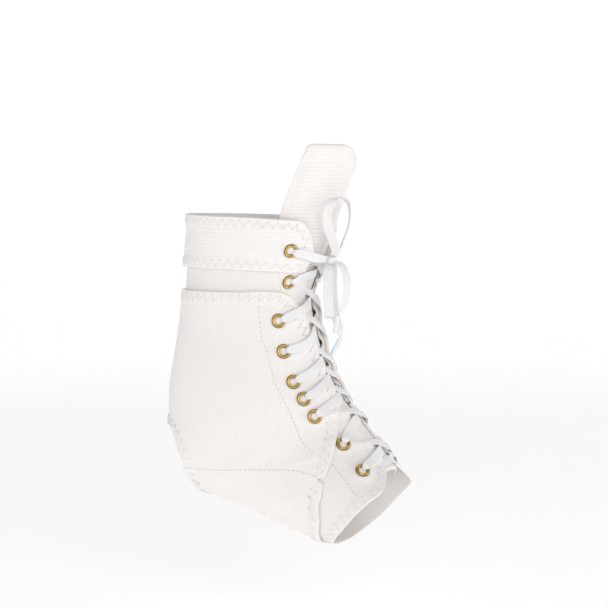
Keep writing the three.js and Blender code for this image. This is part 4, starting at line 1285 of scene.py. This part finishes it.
def ribbon(name, at, wide, width, thick, replaces=()):
    """A flat lace along a line: its section is a superellipse whose long axis follows the
    direction given for its width. Each end is closed by a flat cap."""
    ahead = unit(np.gradient(at, axis=0))
    across = unit(wide - (wide * ahead).sum(-1, keepdims=True) * ahead)
    up = np.cross(ahead, across)
    turn = circle(20)
    c, s = np.cos(turn), np.sin(turn)
    x = np.sign(c) * np.abs(c) ** 0.45
    y = np.sign(s) * np.abs(s) ** 0.8
    points = (at[:, None] + across[:, None] * (x[None, :, None] * width[:, None, None] / 2)
              + up[:, None] * (y[None, :, None] * thick[:, None, None] / 2))
    n, k = points.shape[:2]
    quads = strip_quads(n, k, closed=True)
    i = np.arange(k // 2 - 1)
    cap = np.stack([i, i + 1, k - 2 - i, k - 1 - i], -1)
    quads = np.concatenate([quads, cap[:, ::-1], cap + k * (n - 1)])
    flat = points.reshape(-1, 3)
    quads = turned_out(quads, flat, 0, flat[quads[0, 0]] - at[0])
    uv = np.stack(np.broadcast_arrays(x[None] * width[:, None] / 2, lengths(at)[:, None]), -1) * MM
    return to_piece(name, flat, quads, "braid", uv.reshape(-1, 2), replaces)


def eased(rows):
    """Inner rows of a line, each moved to the mean of itself, twice, and its neighbours"""
    return (rows[:-2] + 2 * rows[1:-1] + rows[2:]) / 4


def smooth_stations(points, step=0.8):
    """Even stations along the centripetal curve through control points. Each row of points holds a
    place, a direction of width, a width and a thickness."""
    table = np.array([[*at, *wide, w, t] for at, wide, w, t in points])
    line = dense_curve(table[:, :3], 24)
    place = np.linspace(0, len(table) - 1, len(line))
    rest = read_at(place, np.arange(len(table)), table[:, 3:])
    at = lengths(line)
    where = np.linspace(0, at[-1], max(int(at[-1] / step), 8))
    line, rest = read_at(where, at, line), read_at(where, at, rest)
    line[1:-1] = eased(line)
    for _ in range(3):
        rest[1:-1] = eased(rest)
    return line, unit(rest[:, :3]), rest[:, 3], rest[:, 4]


def section_mm(u):
    """Length of a section at the front"""
    return float(np.linalg.norm(skin(u + 0.05, 0) - skin(u - 0.05, 0)) / 0.1)


def degrees(u, v, mm):
    """Angle that a length covers round the form"""
    return mm / float(np.linalg.norm(skin(u, v + 0.5) - skin(u, v - 0.5)))


def heading(u, v, u2, v2):
    """Direction from one place of the form to another"""
    return unit(surface(u2, v2, 0.0) - surface(u, v, 0.0))


def under(u, v):
    """Middle of a lace between the tongue and the cloth over it"""
    return float(tongue_height(u, v)) + LACE_ROOM / 2


def over(u, v):
    """Middle of a lace that lies on the cloth"""
    angle = abs(v) + (LACE_W / 2 + LACE_CLEAR) / DEGREE_MM
    top = np.array(PANEL_TOP[:5][::-1] + PANEL_FRONT[1:] + PANEL_INSTEP[1:])
    collar = np.array(COLLAR_FRONT)
    if u < COLLAR_BOTTOM[0][0]:
        covered = angle > np.interp(u, collar[:, 0], collar[:, 1])
    else:
        covered = u > PANEL_TOP[4][0] and angle > np.interp(u, top[:, 0], top[:, 1])
    return float(shell_top(u, v) if covered else lining_top(u, v)) + FIT_GAP + LACE_T / 2


def lacing_points(side):
    """Control points of one half of the lace, from the bar inside the lowest pair of eyelets to the
    knot: out through an eyelet, over that side's edge, across the front, under the other edge and
    out through that side's next eyelet. The lace turns over where it goes through an eyelet."""
    points = []
    turn = 1.0

    def put(u, v, height, w, ahead):
        """A control point whose width lies on the form, at right angles to the way ahead"""
        points.append((surface(u, v, height), turn * unit(np.cross(normal(u, v), ahead)), w, LACE_T))

    def out(e, s, towards):
        """Up through the bore beside its front wall, and over the flange towards a place"""
        u, v, covered, _ = e
        top = eyelet_height(u, v, covered)
        flange = top + FIT_GAP + FLANGE_RISE + LACE_T / 2
        reach_mm = math.hypot((towards[0] - u) * SECTION_MM, (towards[1] - v) / degrees(u, v, 1))
        ahead = heading(u, s * v, towards[0], s * towards[1])
        heights = (float(base(u, v)) + 0.7, top, flange - 0.1, flange + 0.25,
                   top + FIT_GAP + LACE_T / 2 + 0.45)
        for slide, height, w in zip(OUT_SLIDES, heights, OUT_WIDTHS):
            share = slide / reach_mm
            put(u + (towards[0] - u) * share, s * (v + (towards[1] - v) * share), height, w, ahead)

    def into(e, s, start, ahead):
        """Under the cloth to the bore's back, and up into it"""
        u1, v1 = e[0], e[1]
        far, near, inside = (v1 - degrees(u1, v1, slide) for slide in INTO_SLIDES)
        for share in (0.5, 1.0):
            u = start[0] + (u1 - start[0]) * share
            v = s * (start[1] + (far - start[1]) * share)
            put(u, v, under(u, v), LACE_W if share < 1 else LACE_W * 0.8, ahead)
        put(u1, s * near, under(u1, s * near), BORE_W, ahead)
        put(u1, s * inside, float(base(u1, v1)) - 0.35, BORE_W, ahead)

    s = side
    lowest = EYELETS[-1]
    along = heading(lowest[0], 0, lowest[0], s * lowest[1])
    put(lowest[0], s * 0.3, under(lowest[0], 0), LACE_W, along)
    into(lowest, s, (lowest[0], 1), along)
    for k in range(len(EYELETS) - 1, 0, -1):
        e, following, route = EYELETS[k], EYELETS[k - 1], LACE_ROUTES[k]
        u2, v2, _, cross = following
        mm = 1 / section_mm(cross)
        turn = -turn
        out(e, s, route[0])
        for (u, v), (next_u, next_v) in zip(route, route[1:] + [(cross, 0)]):
            put(u, s * v, over(u, v), LACE_W, heading(u, s * v, next_u, s * next_v))
        for angle, shift, lift, w in PASSING[s]:
            u, v = cross - shift * mm, s * angle
            put(u, v, under(u, v) + lift, w, heading(u, v, u - 0.02, v - s * 6))
        s = -s
        into(following, s, (cross - TAIL_RISE * mm, 13), heading(u2, s * (v2 - 5), u2, s * v2))
    turn = -turn
    out(EYELETS[0], s, LACE_ROUTES[0][0])
    for u, v in LACE_ROUTES[0]:
        put(u, s * v, over(u, v) + 0.1, LACE_W, heading(u, s * v, 2.08, 0))
    knot = np.array(KNOT_AT)
    last, wide, _, _ = points[-1]
    away = unit(last - knot) * (KNOT_SIZE / 2 + FIT_GAP)
    points.append((knot + away, wide, TUCKED_W, LACE_T))
    return points


class BRACE_OT_lacing(bpy.types.Operator):
    """The flat woven lace that runs from eyelet to eyelet up to the knot"""
    bl_idname = "brace.lacing"
    bl_label = "Lacing"

    def execute(self, context):
        for side, name in ((1, "right"), (-1, "left")):
            at, wide, w, t = smooth_stations(lacing_points(side))
            ribbon(f"lace_from_{name}", at, wide, w, t, [f"lacing_from_{name}"])
        return {"FINISHED"}


def out_of_knot(p):
    """Where a loose stretch that heads for a point comes out of the knot"""
    knot = np.array(KNOT_AT)
    return tuple(knot + unit(np.array(p, float) - knot) * (KNOT_SIZE / 2 + FIT_GAP + 0.1))


def loose_points(points, wide, tip_width=0.0):
    """Control points of a loose stretch from the knot, back to it or to an end gathered into an
    aglet"""
    route = [out_of_knot(points[0]), *points]
    if not tip_width:
        route.append(out_of_knot(points[-1]))
    last = len(route) - 1
    first, second = np.array(wide[0]), np.array(wide[-1])
    return [(p, first + (second - first) * float(smooth((k / last - 0.3) / 0.4)),
             tip_width if tip_width and k == last else LACE_W, LACE_T) for k, p in enumerate(route)]


class BRACE_OT_bow(bpy.types.Operator):
    """The knot, its two loops, its two ends and their aglets"""
    bl_idname = "brace.bow"
    bl_label = "Bow"

    def execute(self, context):
        knot_wraps()
        tips = {"one": clear_tip("one", END_ONE[-1], AGLET_ONE_TIP),
                "two": clear_tip("two", END_TWO[-1], AGLET_TWO_TIP)}
        for name, points, wide, tip in (
                ("bow_loop_up", LOOP_UP, [(0.9, 0.42, 0.1), (0.45, -0.9, 0)], None),
                ("bow_loop_down", LOOP_DOWN, [(0.94, 0.34, 0)], None),
                ("lace_end_one", END_ONE, [(0.5, 0.85, 0)], "one"),
                ("lace_end_two", END_TWO, [(0.7, 0.7, 0)], "two")):
            at, across, w, t = smooth_stations(loose_points(points, wide, TIP_W if tip else 0))
            piece = ribbon(f"{name}_lace", at, across, w, t, [name])
        return {"FINISHED"}


def knot_wraps():
    """The knot: three short turns of lace over each other about its middle, the first of which
    replaces the frame's knot"""
    turn = np.linspace(0, 2 * np.pi, 49)
    for k, (tilt, radius, w, t) in enumerate(KNOT_TURNS):
        x = unit(np.array([np.cos(tilt), 0.35, np.sin(tilt)]))
        z = np.array([-np.sin(tilt) * 0.2, 1.0, np.cos(tilt) * 0.3])
        z = unit(z - (z @ x) * x)
        ring_line = np.array(KNOT_AT) + (x * np.cos(turn)[:, None] + z * np.sin(turn)[:, None]) * radius
        side = np.broadcast_to(np.cross(x, z), ring_line.shape)
        ribbon(f"knot_turn_{k}", ring_line, side, np.full(49, w), np.full(49, t), ["knot"] if k == 0 else ())


def clear_tip(name, start, end):
    """An aglet: a tube that closes in round at its tip, and in a step where the lace goes in"""
    start, end = np.array(start, float), np.array(end, float)
    way = unit(end - start)
    start = start + way * (FIT_GAP + LACE_T / 2)
    length = np.linalg.norm(end - start)
    radius = AGLET_D / 2
    profile = dense_curve([
        (0.02, 0.05), (radius * 0.7, 0.02), (radius * 0.95, 0.12), (radius, 0.4), (radius, length * 0.35),
        (radius * 0.97, length * 0.7), (radius * 0.9, length - 0.9), (radius * 0.72, length - 0.3),
        (radius * 0.4, length - 0.04), (0.02, length)], 5)
    turn, points = turned(profile, start, way, (0.2, 1.0, 0.1), 28)
    flat = points.reshape(-1, 3)
    quads = strip_quads(len(profile), len(turn), closed=True)
    probe = len(turn) * 12
    quads = turned_out(quads, flat, probe, flat[quads[probe, 0]] - start - way * length / 2)
    uv = np.stack(np.broadcast_arrays((turn * radius)[None], profile[:, 1:]), -1) * MM
    return to_piece(f"tip_{name}", flat, quads, "clear_tip", uv.reshape(-1, 2), [f"aglet_{name}"])


# The stage

def camera_axes():
    """Directions back to the camera, to its right and up"""
    around, above = math.radians(VIEW_AROUND), math.radians(VIEW_ABOVE)
    level = math.cos(above)
    back = np.array([math.sin(around) * level, -math.cos(around) * level, math.sin(above)])
    right = np.array([math.cos(around), math.sin(around), 0.0])
    return back, right, np.cross(back, right)


def placed(name, data, right, up, back, place):
    """A camera or a lamp at a place, by its directions to the right, up and back"""
    thing = bpy.data.objects.new(name, data)
    matrix = np.eye(4)
    matrix[:3] = np.column_stack([right, up, back, place])
    thing.matrix_world = Matrix(matrix.tolist())
    bpy.context.scene.collection.objects.link(thing)
    return thing


class BRACE_OT_camera(bpy.types.Operator):
    """Camera at the photograph's angle, distance and framing"""
    bl_idname = "brace.camera"
    bl_label = "Camera"

    def execute(self, context):
        back, right, up = camera_axes()
        half = FRAME_PIXELS / 2
        target = (right * (half - ORIGIN_PIXEL[0]) + up * (ORIGIN_PIXEL[1] - half)) * PIXEL_MM * MM
        data = bpy.data.cameras.new("camera")
        data.sensor_width = 36.0
        data.lens = data.sensor_width * VIEW_DISTANCE / (FRAME_PIXELS * PIXEL_MM * MM)
        context.scene.camera = placed("camera", data, right, up, back, target + back * VIEW_DISTANCE)
        return {"FINISHED"}


class BRACE_OT_stage(bpy.types.Operator):
    """Pale round floor that curves up into a wall all round, and soft studio light"""
    bl_idname = "brace.stage"
    bl_label = "Stage"

    def execute(self, context):
        scene = context.scene
        look = Looks("backdrop")
        colour = tint(tuple(scene.brace_colours.floor), 1.0)
        look.shade(Base_Color=look.mix(look.noise(3.0), colour, tint(colour[:3], 0.99)), Roughness=0.9)
        look.shade(Emission_Color=(1, 1, 1, 1), Emission_Strength=BACKDROP_GLOW)
        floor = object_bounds()[0][2] - FLOOR_DROP
        bend = np.linspace(0, np.pi / 2, 17)
        profile = np.concatenate([
            [(0.001, 0.0), (1.0, 0.0)],
            np.column_stack([FLOOR_RADIUS + WALL_BEND * np.sin(bend), WALL_BEND * (1 - np.cos(bend))]),
            [(FLOOR_RADIUS + WALL_BEND, WALL_HEIGHT)]])
        turn = circle(72)
        points = np.stack(np.broadcast_arrays(
            profile[:, :1] * np.cos(turn), profile[:, :1] * np.sin(turn), profile[:, 1:] + floor), -1)
        quads = strip_quads(len(profile), len(turn), closed=True)
        mesh = bpy.data.meshes.new("backdrop")
        mesh.from_pydata(points.reshape(-1, 3).tolist(), [], quads.tolist())
        mesh.polygons.foreach_set("use_smooth", np.ones(len(quads), bool))
        mesh.materials.append(look.material)
        backdrop = bpy.data.objects.new("backdrop", mesh)
        scene.collection.objects.link(backdrop)
        backdrop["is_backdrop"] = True
        for name, place, size, power in LIGHTS:
            self.light(name, place, size, power)
        world = bpy.data.worlds.new("studio")
        world.use_nodes = True
        background = next(n for n in world.node_tree.nodes if n.type == "BACKGROUND")
        background.inputs[0].default_value = (1.0, 1.0, 1.0, 1.0)
        background.inputs[1].default_value = WORLD_LIGHT
        scene.world = world
        scene.view_settings.view_transform = "Standard"
        return {"FINISHED"}

    def light(self, name, place, size, power):
        """A square soft light that looks at the origin"""
        data = bpy.data.lights.new(name, "AREA")
        data.size = size
        data.energy = power
        back = unit(np.array(place, float))
        right = unit(np.cross((0, 0, 1.0), back))
        placed(name, data, right, np.cross(back, right), back, place)


class BRACE_PT_panel(bpy.types.Panel):
    """The brace's pieces and sizes"""
    bl_label = "Brace"
    bl_idname = "BRACE_PT_panel"
    bl_space_type = "VIEW_3D"
    bl_region_type = "UI"
    bl_category = "Brace"

    def draw(self, context):
        for group in (context.scene.brace_cloth, context.scene.brace_thread, context.scene.brace_colours):
            box = self.layout.box()
            for name in group.__annotations__:
                box.prop(group, name)
        for operator in OPERATORS:
            self.layout.operator(operator.bl_idname)


GROUPS = {"brace_cloth": BraceCloth, "brace_thread": BraceThread, "brace_colours": BraceColours}
OPERATORS = (BRACE_OT_camera, BRACE_OT_bow, BRACE_OT_lacing, BRACE_OT_tongue, BRACE_OT_ankle_band,
             BRACE_OT_facings, BRACE_OT_forefoot_wrap, BRACE_OT_collar, BRACE_OT_side_panels,
             BRACE_OT_sole_wrap, BRACE_OT_eyelets, BRACE_OT_stage)


def register():
    """Adds the sizes, the operators and the panel"""
    for name, group in GROUPS.items():
        bpy.utils.register_class(group)
        setattr(bpy.types.Scene, name, bpy.props.PointerProperty(type=group))
    for operator in OPERATORS:
        bpy.utils.register_class(operator)
    bpy.utils.register_class(BRACE_PT_panel)


def unregister():
    """Takes them away again, in the other order"""
    bpy.utils.unregister_class(BRACE_PT_panel)
    for operator in reversed(OPERATORS):
        bpy.utils.unregister_class(operator)
    for name, group in GROUPS.items():
        delattr(bpy.types.Scene, name)
        bpy.utils.unregister_class(group)


def main():
    """Builds every piece and the stage"""
    register()
    for operator in OPERATORS:
        group, name = operator.bl_idname.split(".")
        getattr(getattr(bpy.ops, group), name)()


if __name__ == "__main__":
    main()
